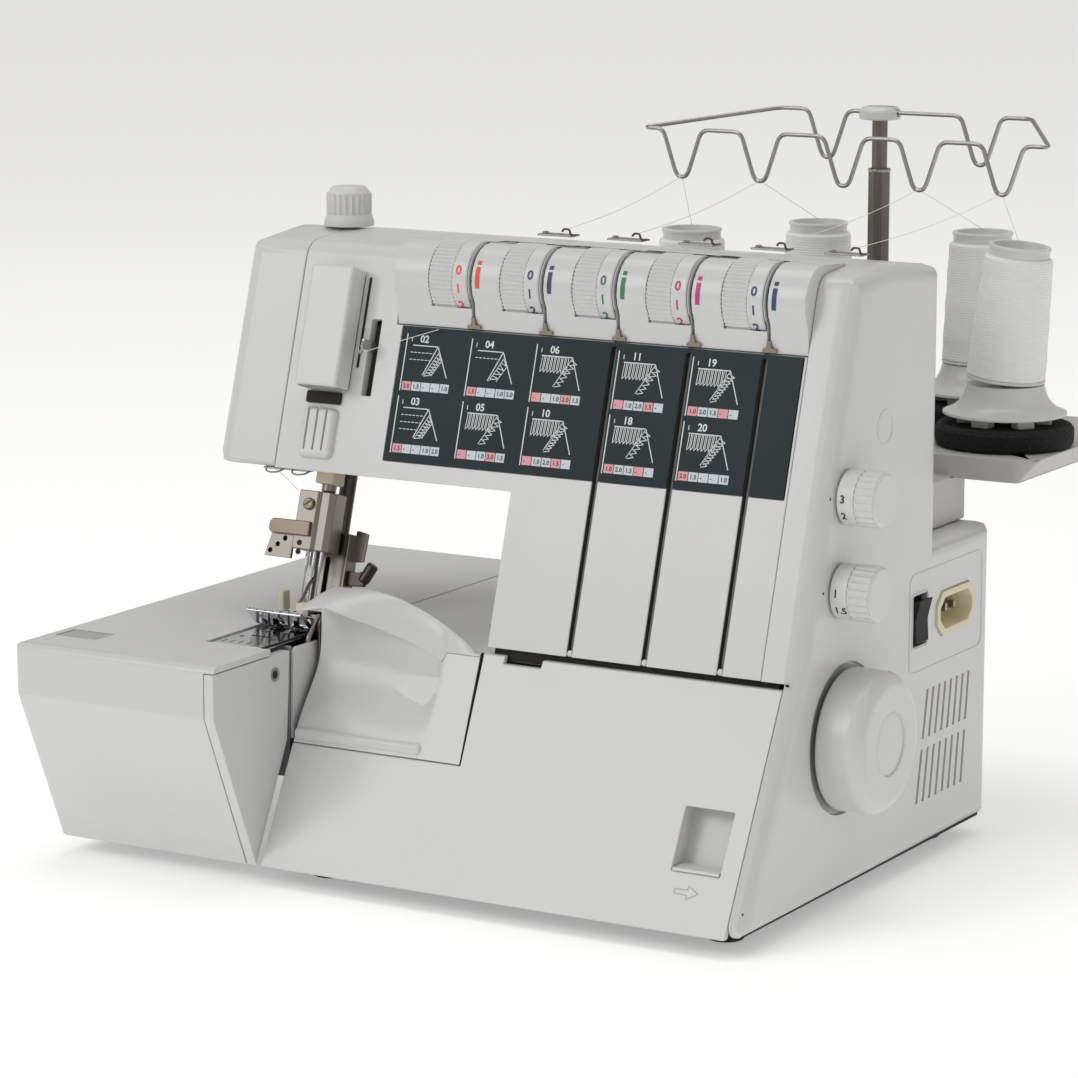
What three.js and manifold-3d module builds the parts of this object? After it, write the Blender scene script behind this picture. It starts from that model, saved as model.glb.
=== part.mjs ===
// Five-thread coverlock (overlock and cover stitch) sewing machine.
// Millimetres, +Z up. The machine faces -Y, its handwheel is on +X and its table on -X.
// Inside the machine group x = 0 is the right-hand face, y = 0 the lower front edge and z = 0 the
// ground; the group is then moved so that the origin is the middle of the whole machine's footprint.

import * as THREE from "three";
import { mergeVertices } from "three/addons/utils/BufferGeometryUtils.js";
import Module from "manifold-3d";

const wasm = await Module();
wasm.setup();

// ---------------------------------------------------------------- driving dimensions

const WALL = 3;
const FRONT_WALL = 5.5;
const SEAM = 0.4;
const EDGE_ROUND = 9;
const OVERCUT = 6;

const FOOT_HEIGHT = 8;
const BED_TOP = 109.65;
const ARM_UNDERSIDE = 183.5;
const STEP_TOP = 155.6;
const CROWN_TOP = 293;
const LOWER_BACK = 262;
const UPPER_BACK = 199;

const COVER_SEAM_X = -20;
const COLUMN_LEFT = -162.5;
const BODY_LEFT = -255.5;
const FACE_SEAM_X = -295;
const HEAD_LEFT = -330;
const TABLE_LEFT = -370;
const TABLE_FRONT = -32.3;
const TABLE_RIGHT = -256.2;

const LOWER_FRONT_TOP = [55.05, 112.3];
const LOWER_SLOPE = LOWER_FRONT_TOP[0] / (LOWER_FRONT_TOP[1] - FOOT_HEIGHT);
const UPPER_SLOPE = 0.3067;
const LEAN = Math.atan(UPPER_SLOPE);
const UPPER_BOTTOM = 113.5;
const DOOR_TOP = 110.5;

const DIAL_AXIS = [113, 277];
const DIAL_RADIUS = 18.3;
const POD_RADIUS = 17.5;
const POD_LEFT = -238;
const POD_BACK = 136;
const POD_FLOOR = 254.5;
const DIAL_WIDTH = 21;
const THREAD_SLOTS = [-197, -158, -119, -80, -41];
const CHANNEL_SLOTS = THREAD_SLOTS.slice(2);
const CHANNEL_WIDTH = 3;
const CHANNEL_DEPTH = 3.8;
const SHAFT_BORE = 2.9;

const CHART = { left: -234.5, right: -21.8, low: 83.4, high: 148.2, thick: 1.1, pocket: 1.5 };

const WHEEL_AXIS = [100.7, 80.5];
const WHEEL_RADIUS = 33;
const WHEEL_OUT = 23.5;
const SHAFT_RADIUS = 5;
const DRIVE_RADIUS = 30;
const MOTOR_AXIS = [215, 60];
const MOTOR_RADIUS = 26;
const MOTOR_PULLEY_RADIUS = 10;
const PULLEY_X = [-27, -15];

const STITCH_DIAL = { y: 99.8, z: 192.2, radius: 13, out: 19.5 };
const FEED_DIAL = { y: 94.1, z: 150.2, radius: 13, out: 20.8 };

const NEEDLE_X = -278;
const NEEDLE_DEPTH = 24.6;
const PRESSER_X = -276;
const PRESSER_DEPTH = 38;

const TRAY = { left: -212, right: 29, front: 243, back: 382, low: 178, high: 189.5 };
const FRONT_PINS_Y = 284;
const BACK_PINS_Y = 343;
const SPOOLS = [[-179, FRONT_PINS_Y], [-137, BACK_PINS_Y], [-45, BACK_PINS_Y], [-5, FRONT_PINS_Y]];
const EMPTY_PIN = [-91, FRONT_PINS_Y];
const CONE_LEAN = [0, 0, 0, THREE.MathUtils.degToRad(5.5)];
const MAST = [-91, 318];
const MAST_JOINT = 317.5;
const WIRE_RADIUS = 1.1;

const ORIGIN_X = (TABLE_LEFT + TRAY.right) / 2;
const ORIGIN_Y = (TABLE_FRONT + TRAY.back) / 2;

// ---------------------------------------------------------------- boxes as [x0, x1, y0, y1, z0, z1]

const FAR_LEFT = -400;
const FAR_RIGHT = 40;
const FAR_BACK = 300;
const FAR_TOP = 320;

const BASE_PAN = [-252, -3.6, 8.6, 258.4, 8.4, 12];
const FRAME_BED = [-248, -45, 125, 185, 12.5, 40];
const FRAME_COLUMN = [-155, -60, 140, 185, 39, 275];
const FRAME_ARM = [-262, -60, 140, 185, 208, 275];
const FRAME_PLATES = [[-160, -150, 88, 186, 12.5, 96], [-60, -52, 88, 186, 12.5, 96]];
const NEEDLE_BAR_HOLE = [-292, -262, 92, 128, ARM_UNDERSIDE - OVERCUT, ARM_UNDERSIDE + OVERCUT];
const LIFTER_NOTCH = [-262, -248, 165, 206, ARM_UNDERSIDE - OVERCUT, 204];
const LEVER_SLOT = [-252.5, -247, -OVERCUT, FRONT_WALL + 2, 113, 150];
const SWITCH_HOLE = [-OVERCUT, OVERCUT, 172.4, 187.2, 108.8, 133.4];
const BED_BLOCK = [BODY_LEFT, COVER_SEAM_X, 59.5, LOWER_BACK, 12.4, BED_TOP];
const FREE_ARM_HOLE = [BODY_LEFT - OVERCUT, BODY_LEFT + OVERCUT, 40, 121, 30, BED_TOP - WALL];
const LOOPER_HOLE = [-254, -235, 40, 100, 90, BED_TOP + OVERCUT];
const LATCH_NOTCH = [-152, -132, 0, 90, DOOR_TOP - 3.5, DOOR_TOP + OVERCUT];
const ARM_SLOT = [-293.2, TABLE_RIGHT + OVERCUT, 14.8, 121.2, 100, 120];
const BUTTON_HOLE = [-363.5, -339.5, -9.5, 6.5, 100, 120];
const RELEASE_BUTTON = [-362.8, -340.2, -8.8, 5.8, 103, BED_TOP - 0.4];
const FREE_ARM = [-292, -258.4, 33, 120, 44, 107.3];
const FREE_ARM_HOLLOW = [-289, -250, 36, 117, 47, 120];
const NEEDLE_PLATE = [-289.4, -262.4, 15.2, 120.6, 107.7, BED_TOP];
const NEEDLE_PLATE_HOLE = [-287.5, -271.5, 76, 86, 100, 120];
const PLATE_FEED_SLOTS = [[-283.6, -280.4, 53, 73, 100, 120], [-271.6, -268.4, 53, 73, 100, 120]];
const FEED_CARRIER = [-285, -266, 56, 70, 99, 106.6];
const FEED_TEETH = [[-283, -281, 56, 70, 106, BED_TOP - 0.1], [-271, -269, 56, 70, 106, BED_TOP - 0.1]];
const HOOD = [-283, -259, -13, -SEAM, 114, 173];
const HOOD_HOLLOW = [-281, -261, -11, OVERCUT, 112, 171];
const CLAMP_BLOCK = [-289, -271, 17, 31, 38, 67];
const CLAMP_FAN = [-304, -288, 17, 27, 33, 45];
const FOOT_SOLE = [-293, -261.6, 56, 107, 110.2, 113.2];
const FOOT_ANKLE = [-284, -268, 95.5, 107, 113, 120.4];
const FOOT_HOLE = [-288, -271, 76, 86, 100, 120];
const RAIL_STRIP = [-215, -24, 184, 186, 290.2, 291.4];
const STAND_COLUMN = [-162, -14, UPPER_BACK + 0.8, 259, STEP_TOP + SEAM, TRAY.low + 1];

// ---------------------------------------------------------------- rods, holes and outlines

const FOOT_SPOTS = [[-235, 32], [-24, 32], [-235, 238], [-24, 238]];
const FOOT_PROFILE = [[0, 0], [8, 0], [9, 1.5], [9, 8.1], [0, 8.1]];
const KNOB_AXIS = [-297, 148];
const KNOB_HOLE = { radius: 4, low: 280, high: 300 };
const KNOB_PROFILE = [
  [0, 282], [3, 282], [3, 293.6], [12.3, 293.6], [12.3, 297.5], [11, 299], [11, 310], [8.5, 313], [0, 313],
];
const VENTS = {
  count: 8, width: 2.4, low: 32, high: 86, rows: [[32, 57.5], [62.5, 86]],
  lowY: 178, lowPitch: 7.14, highY: 188.6, highPitch: 6.63,
};
const INLET_CENTRE = [218.5, 120];
const INLET_HOLE = [21.5, 11, 6];
const INLET_BODY = [21, 10.5, 6];
const INLET_MOUTH = [18, 7.5, 5];
const LEVER_SIDE = [
  [121, 228], [129, 228], [129, 237], [96, 245], [87, 248], [85, 244], [96, 240], [121, 233],
];
const LEVER_X = [-250.6, -249];
const LIFTER_SIDE = [[172, 188], [180, 186], [222, 172], [224, 177], [184, 196], [172, 197]];
const LIFTER_X = [-260, -250];
const FOOT_TOE = [[57, 110.4], [57, 113], [49.5, 120.6], [47.8, 119.4]];
const NEEDLE_XS = [-283.5, -275.5];
const NEEDLE_PROFILE = [[0, 12], [0.9, 16], [0.9, 40], [0, 40]];
const NEEDLE_BAR = { radius: 3.6, low: 67.4, high: 160 };
const PRESSER_BAR = { radius: 4, low: 22, high: 165 };
const LOWER_LOOPER = [
  [-230, 30], [-220, 30], [-219, 38], [-240, 88], [-248, 97], [-281, 98], [-283, 96], [-250, 90], [-246, 84],
  [-230, 40],
];
const LOWER_LOOPER_Y = [87, 90];
const UPPER_LOOPER = [
  [-195, 55], [-185, 55], [-185, 63], [-192, 68], [-226, 92], [-245, 101], [-246, 98], [-230, 88], [-196, 62],
];
const UPPER_LOOPER_Y = [92, 95];
const KNIFE_SIDE = [[58, 98], [86, 98], [86, 126], [70, 130], [58, 114]];
const KNIFE_X = [-257.7, -255.9];
const DOOR = { left: -253.8, right: -8.4, thick: 3.4 };
const POCKET_WALL = { low: 30, high: 62.5, left: -45, right: -14.5, near: 0.5, far: 15 };
const POCKET = { low: 33, high: 59.5, left: -42, right: -17.5, far: 12 };
const GUARD_GAP = [[-270, 62.4], [-161.2, 62.4], [-164.4, 130], [-270, 130]];
const GUARD = { left: -253.2, right: -161.8, low: 63 };
const GUARD_ARCH = [[-165, 110], [-192, 134], [-226, 137]];
const GUARD_ARCH_END = [[-246, 136], [-253.2, 130]];
const GUARD_ARCH_CHORDS = 8;
const GUARD_RIDGE = { thick: 3, near: 31, far: 47 };
const GUARD_SHEET = [[30.4, 63], [33.8, 63], [49, 100], [49, 142], [45.6, 142], [45.6, 101]];
const GUARD_CHEEK = [[-172, 63.1], [-161.8, 63.1], [-165, 109.9], [-186, 109.9]];
const CAP_SEAT = [[TABLE_FRONT - 9, 106.6], [TABLE_FRONT - 9, 0], [8, 0], [29.5, 64], [32, 106.6]];
const CAP_LEFT = -261.4;
const CAP_SEAT_LEFT = -261.8;
const POD_ARC = { start: 214, step: 15.5, chords: 8 };
const POD_FRONT = 99.6;
const THREAD_SLOT = { near: 0.3, far: 2, front: 80, frontEnd: 118, topEnd: 131, low: 240, topLow: 284 };
const CLIP = {
  left: 12, right: 8, hookLeft: 4, front: 180, back: 188, low: 290.2, high: 291.2, hookTop: 295,
};
const WHEEL_PROFILE = [
  [0, 0.8], [31.5, 0.8], [WHEEL_RADIUS, 2.3], [WHEEL_RADIUS, 19.5], [29.5, WHEEL_OUT], [15.5, WHEEL_OUT],
  [14.5, 22.4], [0, 22.4],
];
const MAIN_SHAFT_X = [-165, 0.4];
const FRAME_BORE_X = [-170, -40];
const MOTOR_X = [-120, -34];
const MOTOR_SPINDLE = { radius: 3, start: -33.4 };
const BELT = { inner: 0.4, outer: 2.4, inset: 2, wheelChords: 18, motorChords: 12, facets: 26 };
const SPINDLE = { radius: 3, hole: 3.6, inner: -6, shoulder: 0.5, round: 1.5 };
const ROCKER = [[-8, 114], [1.5, 110.5], [0.9, 121], [3.4, 131.5], [-8, 128]];
const ROCKER_Y = [173, 186.6];
const SOCKET_X = { back: -19, front: 1.2, mouth: -15 };
const TRAY_TAPER = 9;
const TRAY_CORNER = 14;
const SPOOL_PIN = { radius: 2.5, top: 262 };
const REST_PROFILE = [
  [6.5, 190], [33, 190], [34, 196], [33, 203.2], [26.5, 203.6], [26.5, 208.5], [19.5, 219.6], [6.5, 219.6],
  [6.5, 190],
];
const CONE_PROFILE = [[10, 0], [19.7, 0], [15.3, 66], [10, 66], [10, 0]];
const CONE_SEAT = { height: 220, radius: 20.5 };
const MAST_TUBES = { outer: 5.6, inner: 4.4, upper: 4, upperLow: 193, upperHigh: 341.6 };
const CAP_PROFILE = [[0, 342], [10.5, 342], [10.5, 346.5], [8.5, 348.4], [0, 348.4]];
const CAP_GROOVE = { half: 1.6, low: 343.9, reach: 20 };
const WIRE = { frontY: 273, frontZ: 336.5, backZ: 345.5, left: -201, right: 20, steps: 150 };
const WIRE_BACK = { start: 14, rightHook: -36, rightEnd: -9, leftEnd: -147, leftHook: -120, gap: 0.3 };
const HOOK_XS = [-4, -48, -89, -135, -179];
// A hook in the wire: half-width at the top and at the bottom, depth and how far its bottom is rounded.
const HOOK = { top: 11, bottom: 3.4, depth: 24, round: 2 };

// ---------------------------------------------------------------- finishes

const FINISHES = {
  shell: { color: 0xd6d8dc, roughness: 0.28, metalness: 0 },
  shellGrey: { color: 0xb9b8b4, roughness: 0.4, metalness: 0 },
  chart: { color: 0x2f3b3b, roughness: 0.3, metalness: 0 },
  ivory: { color: 0xe3d9b8, roughness: 0.4, metalness: 0 },
  black: { color: 0x17181a, roughness: 0.45, metalness: 0 },
  steel: { color: 0x8b867e, roughness: 0.32, metalness: 1 },
  chrome: { color: 0xd2d6da, roughness: 0.12, metalness: 1 },
  casting: { color: 0x9da1a4, roughness: 0.55, metalness: 0.9 },
  bronze: { color: 0x7a6c5e, roughness: 0.35, metalness: 0.9 },
  rubber: { color: 0x222222, roughness: 0.85, metalness: 0 },
  thread: { color: 0xf0f0ee, roughness: 0.9, metalness: 0 },
};

// ---------------------------------------------------------------- solids

const machine = new THREE.Group();
const slopeFrame = new THREE.Group();
slopeFrame.position.set(0, LOWER_FRONT_TOP[0], LOWER_FRONT_TOP[1]);
slopeFrame.rotation.x = -LEAN;
machine.add(slopeFrame);
machine.position.set(-ORIGIN_X, -ORIGIN_Y, 0);

function solidOf(geometry) {
  const bare = geometry.clone();
  bare.deleteAttribute("normal");
  bare.deleteAttribute("uv");
  const merged = mergeVertices(bare, 1e-4);
  const vertProperties = merged.attributes.position.array;
  const triVerts = new Uint32Array(merged.index.array);
  return new wasm.Manifold(new wasm.Mesh({ numProp: 3, vertProperties, triVerts }));
}

function geometryOf(solid) {
  const mesh = solid.getMesh();
  const geometry = new THREE.BufferGeometry();
  geometry.setAttribute("position", new THREE.BufferAttribute(mesh.vertProperties, 3));
  geometry.setIndex(new THREE.BufferAttribute(mesh.triVerts, 1));
  return geometry;
}

function cut(base, ...tools) {
  let result = solidOf(base);
  for (const tool of tools) {
    result = result.subtract(solidOf(tool));
  }
  return geometryOf(result);
}

function join(base, ...others) {
  let result = solidOf(base);
  for (const other of others) {
    result = result.add(solidOf(other));
  }
  return geometryOf(result);
}

function common(base, other) {
  return geometryOf(solidOf(base).intersect(solidOf(other)));
}

function addPart(name, geometry, finish, parent = machine) {
  const mesh = new THREE.Mesh(geometry, new THREE.MeshStandardMaterial(FINISHES[finish]));
  mesh.name = name;
  parent.add(mesh);
  return mesh;
}

function onSlope(geometry) {
  slopeFrame.updateMatrix();
  return geometry.clone().applyMatrix4(slopeFrame.matrix);
}

// Corners are [u, v] or [u, v, radius]; a corner with a radius becomes an arc of short chords.
function outline(corners) {
  const points = [];
  const count = corners.length;
  corners.forEach((corner, index) => {
    const here = new THREE.Vector2(corner[0], corner[1]);
    const radius = corner[2] ?? 0;
    if (radius === 0) {
      points.push(here);
      return;
    }
    const before = corners[(index + count - 1) % count];
    const after = corners[(index + 1) % count];
    const toBefore = new THREE.Vector2(before[0], before[1]).sub(here).normalize();
    const toAfter = new THREE.Vector2(after[0], after[1]).sub(here).normalize();
    const half = Math.acos(THREE.MathUtils.clamp(toBefore.dot(toAfter), -1, 1)) / 2;
    const centre = toBefore.clone().add(toAfter).normalize().multiplyScalar(radius / Math.sin(half));
    centre.add(here);
    const first = toBefore.multiplyScalar(radius / Math.tan(half)).add(here).sub(centre);
    const last = toAfter.multiplyScalar(radius / Math.tan(half)).add(here).sub(centre);
    const turn = Math.atan2(first.cross(last), first.dot(last));
    const chords = Math.max(2, Math.ceil(Math.abs(turn) / 0.45));
    for (let step = 0; step <= chords; step += 1) {
      points.push(first.clone().rotateAround(new THREE.Vector2(), (turn * step) / chords).add(centre));
    }
  });
  return points;
}

// Moves every edge of a counter-clockwise outline inwards.
function inset(corners, distance) {
  const count = corners.length;
  return corners.map((corner, index) => {
    const before = corners[(index + count - 1) % count];
    const after = corners[(index + 1) % count];
    const inDirection = new THREE.Vector2(corner[0] - before[0], corner[1] - before[1]).normalize();
    const outDirection = new THREE.Vector2(after[0] - corner[0], after[1] - corner[1]).normalize();
    const turn = inDirection.cross(outDirection);
    const slide = turn === 0 ? 0 : (distance * (1 - inDirection.dot(outDirection))) / turn;
    const normal = new THREE.Vector2(-inDirection.y, inDirection.x).multiplyScalar(distance);
    const moved = new THREE.Vector2(corner[0], corner[1]).add(normal).addScaledVector(inDirection, -slide);
    return [moved.x, moved.y, Math.max((corner[2] ?? 0) - distance, 0)];
  });
}

const X_AXIS = new THREE.Vector3(1, 0, 0);
const Y_AXIS = new THREE.Vector3(0, 1, 0);
const Z_AXIS = new THREE.Vector3(0, 0, 1);
const TO_X = new THREE.Matrix4().makeBasis(Y_AXIS, Z_AXIS, X_AXIS);
const TO_Y = new THREE.Matrix4().makeBasis(X_AXIS, Z_AXIS, Y_AXIS.clone().negate());

function prism(corners, depth, options = {}) {
  const shape = new THREE.Shape(outline(corners));
  return new THREE.ExtrudeGeometry(shape, { depth, bevelEnabled: false, steps: 1, ...options });
}

// [y, z] outline from x0 to x1.
function alongX(corners, x0, x1) {
  return prism(corners, x1 - x0).applyMatrix4(TO_X).translate(x0, 0, 0);
}

// [y, z] outline from x0 to x1 with both end edges rounded as well as its corners.
function alongXRounded(corners, x0, x1, round) {
  const bevel = {
    bevelEnabled: true, bevelThickness: round, bevelSize: round, bevelOffset: -round, bevelSegments: 3,
  };
  const sharp = corners.map(([y, z]) => [y, z]);
  const ends = prism(sharp, x1 - x0 - 2 * round, bevel).applyMatrix4(TO_X).translate(x0 + round, 0, 0);
  return common(ends, alongX(corners, x0, x1));
}

// [x, z] outline from y0 to y1.
function alongY(corners, y0, y1) {
  return prism(corners, y1 - y0).applyMatrix4(TO_Y).translate(0, y1, 0);
}

// [x, y] outline from z0 to z1.
function alongZ(corners, z0, z1) {
  return prism(corners, z1 - z0).translate(0, 0, z0);
}

function block(x0, x1, y0, y1, z0, z1) {
  const geometry = new THREE.BoxGeometry(x1 - x0, y1 - y0, z1 - z0);
  return geometry.translate((x0 + x1) / 2, (y0 + y1) / 2, (z0 + z1) / 2);
}

// A turned solid about the Z axis through [x, y]; the profile is [radius, z].
function turnedZ(profile, x, y, sides = 24) {
  const points = profile.map(([radius, z]) => new THREE.Vector2(radius, z));
  return new THREE.LatheGeometry(points, sides).rotateX(Math.PI / 2).translate(x, y, 0);
}

// A turned solid about the X axis through [y, z]; the profile is [radius, x].
function turnedX(profile, y, z, sides = 24) {
  const points = profile.map(([radius, x]) => new THREE.Vector2(radius, x));
  return new THREE.LatheGeometry(points, sides).rotateZ(-Math.PI / 2).translate(0, y, z);
}

function rodX(radius, y, z, x0, x1, sides = 20) {
  return turnedX([[0, x0], [radius, x0], [radius, x1], [0, x1]], y, z, sides);
}

function rodZ(radius, x, y, z0, z1, sides = 16) {
  return turnedZ([[0, z0], [radius, z0], [radius, z1], [0, z1]], x, y, sides);
}

function ringProfile(inner, outer, low, high) {
  return [[inner, low], [outer, low], [outer, high], [inner, high], [inner, low]];
}

function lowerFront(z) {
  return (z - FOOT_HEIGHT) * LOWER_SLOPE;
}

function upperFront(z) {
  return LOWER_FRONT_TOP[0] + (z - LOWER_FRONT_TOP[1]) * UPPER_SLOPE;
}

// A slab that follows the sloping lower front, between two depths behind it.
function lowerSlab(near, far, z0, z1) {
  return [
    [lowerFront(z0) + near, z0], [lowerFront(z0) + far, z0],
    [lowerFront(z1) + far, z1], [lowerFront(z1) + near, z1],
  ];
}

// ---------------------------------------------------------------- side views of the body

const ROOF = [[UPPER_BACK, 287, 8], [145, CROWN_TOP, 0], [109.3, 289.3, 10]];
const WHOLE_SIDE = [
  [0, FOOT_HEIGHT, 6], [LOWER_BACK, FOOT_HEIGHT, 4], [LOWER_BACK, STEP_TOP, 6], [UPPER_BACK, STEP_TOP, 0],
  ...ROOF, [...LOWER_FRONT_TOP, 0],
];
const COLUMN_SIDE = [[upperFront(UPPER_BOTTOM), UPPER_BOTTOM], [UPPER_BACK, UPPER_BOTTOM], ...ROOF];
const ARM_SIDE = [[upperFront(ARM_UNDERSIDE), ARM_UNDERSIDE, 2], [UPPER_BACK, ARM_UNDERSIDE, 6], ...ROOF];
const TABLE_SIDE = [
  [TABLE_FRONT, BED_TOP, 4], [TABLE_FRONT, 84.7, 3], [0.4, FOOT_HEIGHT + 0.6],
  [LOWER_BACK, FOOT_HEIGHT + 0.6, 4], [LOWER_BACK, BED_TOP, 4],
];
const END_CAP_SIDE = [
  [TABLE_FRONT, 106.2], [TABLE_FRONT, 84.7], [0.8, FOOT_HEIGHT + 0.6], [28, 64], [30.7, 106.2],
];

// ---------------------------------------------------------------- feet, pan and casting

function makeBase() {
  addPart("base_pan", block(...BASE_PAN), "black");
  FOOT_SPOTS.forEach(([x, y], index) => {
    addPart(`rubber_foot_${index + 1}`, turnedZ(FOOT_PROFILE, x, y, 20), "rubber");
  });
}

function makeFrame() {
  const plates = FRAME_PLATES.map((box) => block(...box));
  const solid = join(block(...FRAME_BED), block(...FRAME_COLUMN), block(...FRAME_ARM), ...plates);
  const bore = rodX(SHAFT_RADIUS + SEAM, ...WHEEL_AXIS, ...FRAME_BORE_X);
  addPart("main_frame", cut(solid, bore), "casting");
}

// ---------------------------------------------------------------- covers

function knobHole() {
  return rodZ(KNOB_HOLE.radius, ...KNOB_AXIS, KNOB_HOLE.low, KNOB_HOLE.high);
}

function makeUpperHousing() {
  const column = alongX(COLUMN_SIDE, FACE_SEAM_X, COVER_SEAM_X);
  const throat = block(FACE_SEAM_X - OVERCUT, COLUMN_LEFT, 0, FAR_BACK, 100, ARM_UNDERSIDE);
  const inner = inset(COLUMN_SIDE, WALL);
  const frontShift = FRONT_WALL - WALL;
  const hollowFront = [[inner[0][0] + frontShift, inner[0][1]], ...inner.slice(1, 4)];
  hollowFront.push([inner[4][0] + frontShift, inner[4][1] - 1, inner[4][2]]);
  const armHollow = common(
    alongX(hollowFront, FACE_SEAM_X - OVERCUT, COVER_SEAM_X + OVERCUT),
    block(FAR_LEFT, FAR_RIGHT, 0, FAR_BACK, ARM_UNDERSIDE + WALL, FAR_TOP),
  );
  const columnHollow = common(
    alongX(hollowFront, COLUMN_LEFT + WALL, COVER_SEAM_X + OVERCUT),
    block(FAR_LEFT, FAR_RIGHT, 0, FAR_BACK, UPPER_BOTTOM + WALL - 1, FAR_TOP),
  );
  const passage = block(-158, COVER_SEAM_X + OVERCUT, 70, 192, UPPER_BOTTOM - OVERCUT, UPPER_BOTTOM + WALL);
  const podNotch = block(
    POD_LEFT - SEAM, COVER_SEAM_X + OVERCUT, 60, POD_BACK + SEAM, POD_FLOOR - SEAM, FAR_TOP,
  );
  const leverSlot = onSlope(block(...LEVER_SLOT));
  const chartPocket = onSlope(block(CHART.left - SEAM, CHART.right + SEAM, -OVERCUT, CHART.pocket, 83, 160));
  const channels = CHANNEL_SLOTS.map((x) => {
    const half = CHANNEL_WIDTH / 2;
    return onSlope(block(x - half, x + half, -OVERCUT, CHANNEL_DEPTH, -OVERCUT, 160));
  });
  addPart("upper_housing", cut(
    column, throat, armHollow, columnHollow, passage, podNotch, block(...NEEDLE_BAR_HOLE),
    block(...LIFTER_NOTCH), leverSlot, chartPocket, ...channels, knobHole(),
  ), "shell");
}

function makeFaceCover() {
  const outer = common(
    alongXRounded(ARM_SIDE, HEAD_LEFT, FACE_SEAM_X + 40, EDGE_ROUND),
    block(FAR_LEFT, FACE_SEAM_X - SEAM, 0, FAR_BACK, 100, FAR_TOP),
  );
  const hollow = alongX(inset(ARM_SIDE, WALL), HEAD_LEFT + WALL + 4, FACE_SEAM_X + OVERCUT);
  addPart("face_cover", cut(outer, hollow, knobHole()), "shell");
}

function ventSlots() {
  const slots = [];
  for (let index = 0; index < VENTS.count; index += 1) {
    const top = VENTS.highY + index * VENTS.highPitch;
    const bottom = VENTS.lowY + index * VENTS.lowPitch;
    const slope = (top - bottom) / (VENTS.high - VENTS.low);
    for (const [low, high] of VENTS.rows) {
      const lowY = bottom + slope * (low - VENTS.low);
      const highY = bottom + slope * (high - VENTS.low);
      const corners = [[lowY, low], [lowY + VENTS.width, low], [highY + VENTS.width, high], [highY, high]];
      slots.push(alongX(corners, -OVERCUT, OVERCUT));
    }
  }
  return slots;
}

function inletOutline(halfWidth, halfHeight, corner) {
  const [y, z] = INLET_CENTRE;
  return [
    [y - halfWidth + corner, z - halfHeight], [y + halfWidth - corner, z - halfHeight],
    [y + halfWidth, z - halfHeight + corner], [y + halfWidth, z + halfHeight - corner],
    [y + halfWidth - corner, z + halfHeight], [y - halfWidth + corner, z + halfHeight],
    [y - halfWidth, z + halfHeight - corner], [y - halfWidth, z - halfHeight + corner],
  ];
}

function makeBeltCover() {
  const outer = common(
    alongXRounded(WHOLE_SIDE, -80, 0, EDGE_ROUND),
    block(COVER_SEAM_X + SEAM, FAR_RIGHT, -20, FAR_BACK, 0, FAR_TOP),
  );
  const hollow = alongX(inset(WHOLE_SIDE, WALL), -90, -WALL);
  const openFloor = block(-90, -WALL, 8, LOWER_BACK - WALL, 0, 20);
  const doorRecess = alongX(lowerSlab(-20, 9, 0, DOOR_TOP + 3), -90, -8);
  const wheelDish = rodX(WHEEL_RADIUS + 2.5, ...WHEEL_AXIS, -2, OVERCUT, 36);
  const shaftHole = rodX(SHAFT_RADIUS + 3, ...WHEEL_AXIS, -OVERCUT, OVERCUT);
  const spindleHoles = [STITCH_DIAL, FEED_DIAL].map(({ y, z }) => {
    return rodX(SPINDLE.hole, y, z, -OVERCUT, OVERCUT, 12);
  });
  const inletHole = alongX(inletOutline(...INLET_HOLE), -OVERCUT, OVERCUT);
  addPart("belt_cover", cut(
    outer, hollow, openFloor, doorRecess, wheelDish, shaftHole, ...spindleHoles, block(...SWITCH_HOLE),
    inletHole, ...ventSlots(),
  ), "shell");
}

function makeLowerHousing() {
  const stepSide = [
    [UPPER_BACK + SEAM, 100], [LOWER_BACK, 100], [LOWER_BACK, STEP_TOP, 6], [UPPER_BACK + SEAM, STEP_TOP],
  ];
  const stepBlock = alongX(stepSide, COLUMN_LEFT, COVER_SEAM_X);
  const right = COVER_SEAM_X + OVERCUT;
  const bedHollow = block(BODY_LEFT + WALL, right, 40, LOWER_BACK - WALL, 0, BED_TOP - WALL);
  const stepHollow = block(
    COLUMN_LEFT + WALL, right, UPPER_BACK + WALL, LOWER_BACK - WALL, 90, STEP_TOP - WALL,
  );
  const columnHole = block(-158, right, 62, UPPER_BACK - WALL, 90, BED_TOP + OVERCUT);
  addPart("lower_housing", cut(
    join(block(...BED_BLOCK), stepBlock), bedHollow, stepHollow, columnHole, block(...FREE_ARM_HOLE),
    block(...LOOPER_HOLE),
  ), "shell");
}

// ---------------------------------------------------------------- front cover and looper guard

function makeFrontCover() {
  const slab = alongX(lowerSlab(0, DOOR.thick, FOOT_HEIGHT + 0.6, DOOR_TOP), DOOR.left, DOOR.right);
  const wall = POCKET_WALL;
  const pocketWall = alongX(lowerSlab(wall.near, wall.far, wall.low, wall.high), wall.left, wall.right);
  const pocket = alongX(lowerSlab(-OVERCUT, POCKET.far, POCKET.low, POCKET.high), POCKET.left, POCKET.right);
  const guardGap = alongY(GUARD_GAP, -10, 90);
  addPart("front_cover", cut(join(slab, pocketWall), pocket, guardGap, block(...LATCH_NOTCH)), "shell");
}

// The guard's arched top edge from its right end to its left end, as [x, z].
function archEdge(drop) {
  const rise = new THREE.QuadraticBezierCurve(...GUARD_ARCH.map(([x, z]) => new THREE.Vector2(x, z - drop)));
  const points = rise.getPoints(GUARD_ARCH_CHORDS).map((point) => [point.x, point.y]);
  return [...points, ...GUARD_ARCH_END.map(([x, z]) => [x, z - drop])];
}

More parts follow.
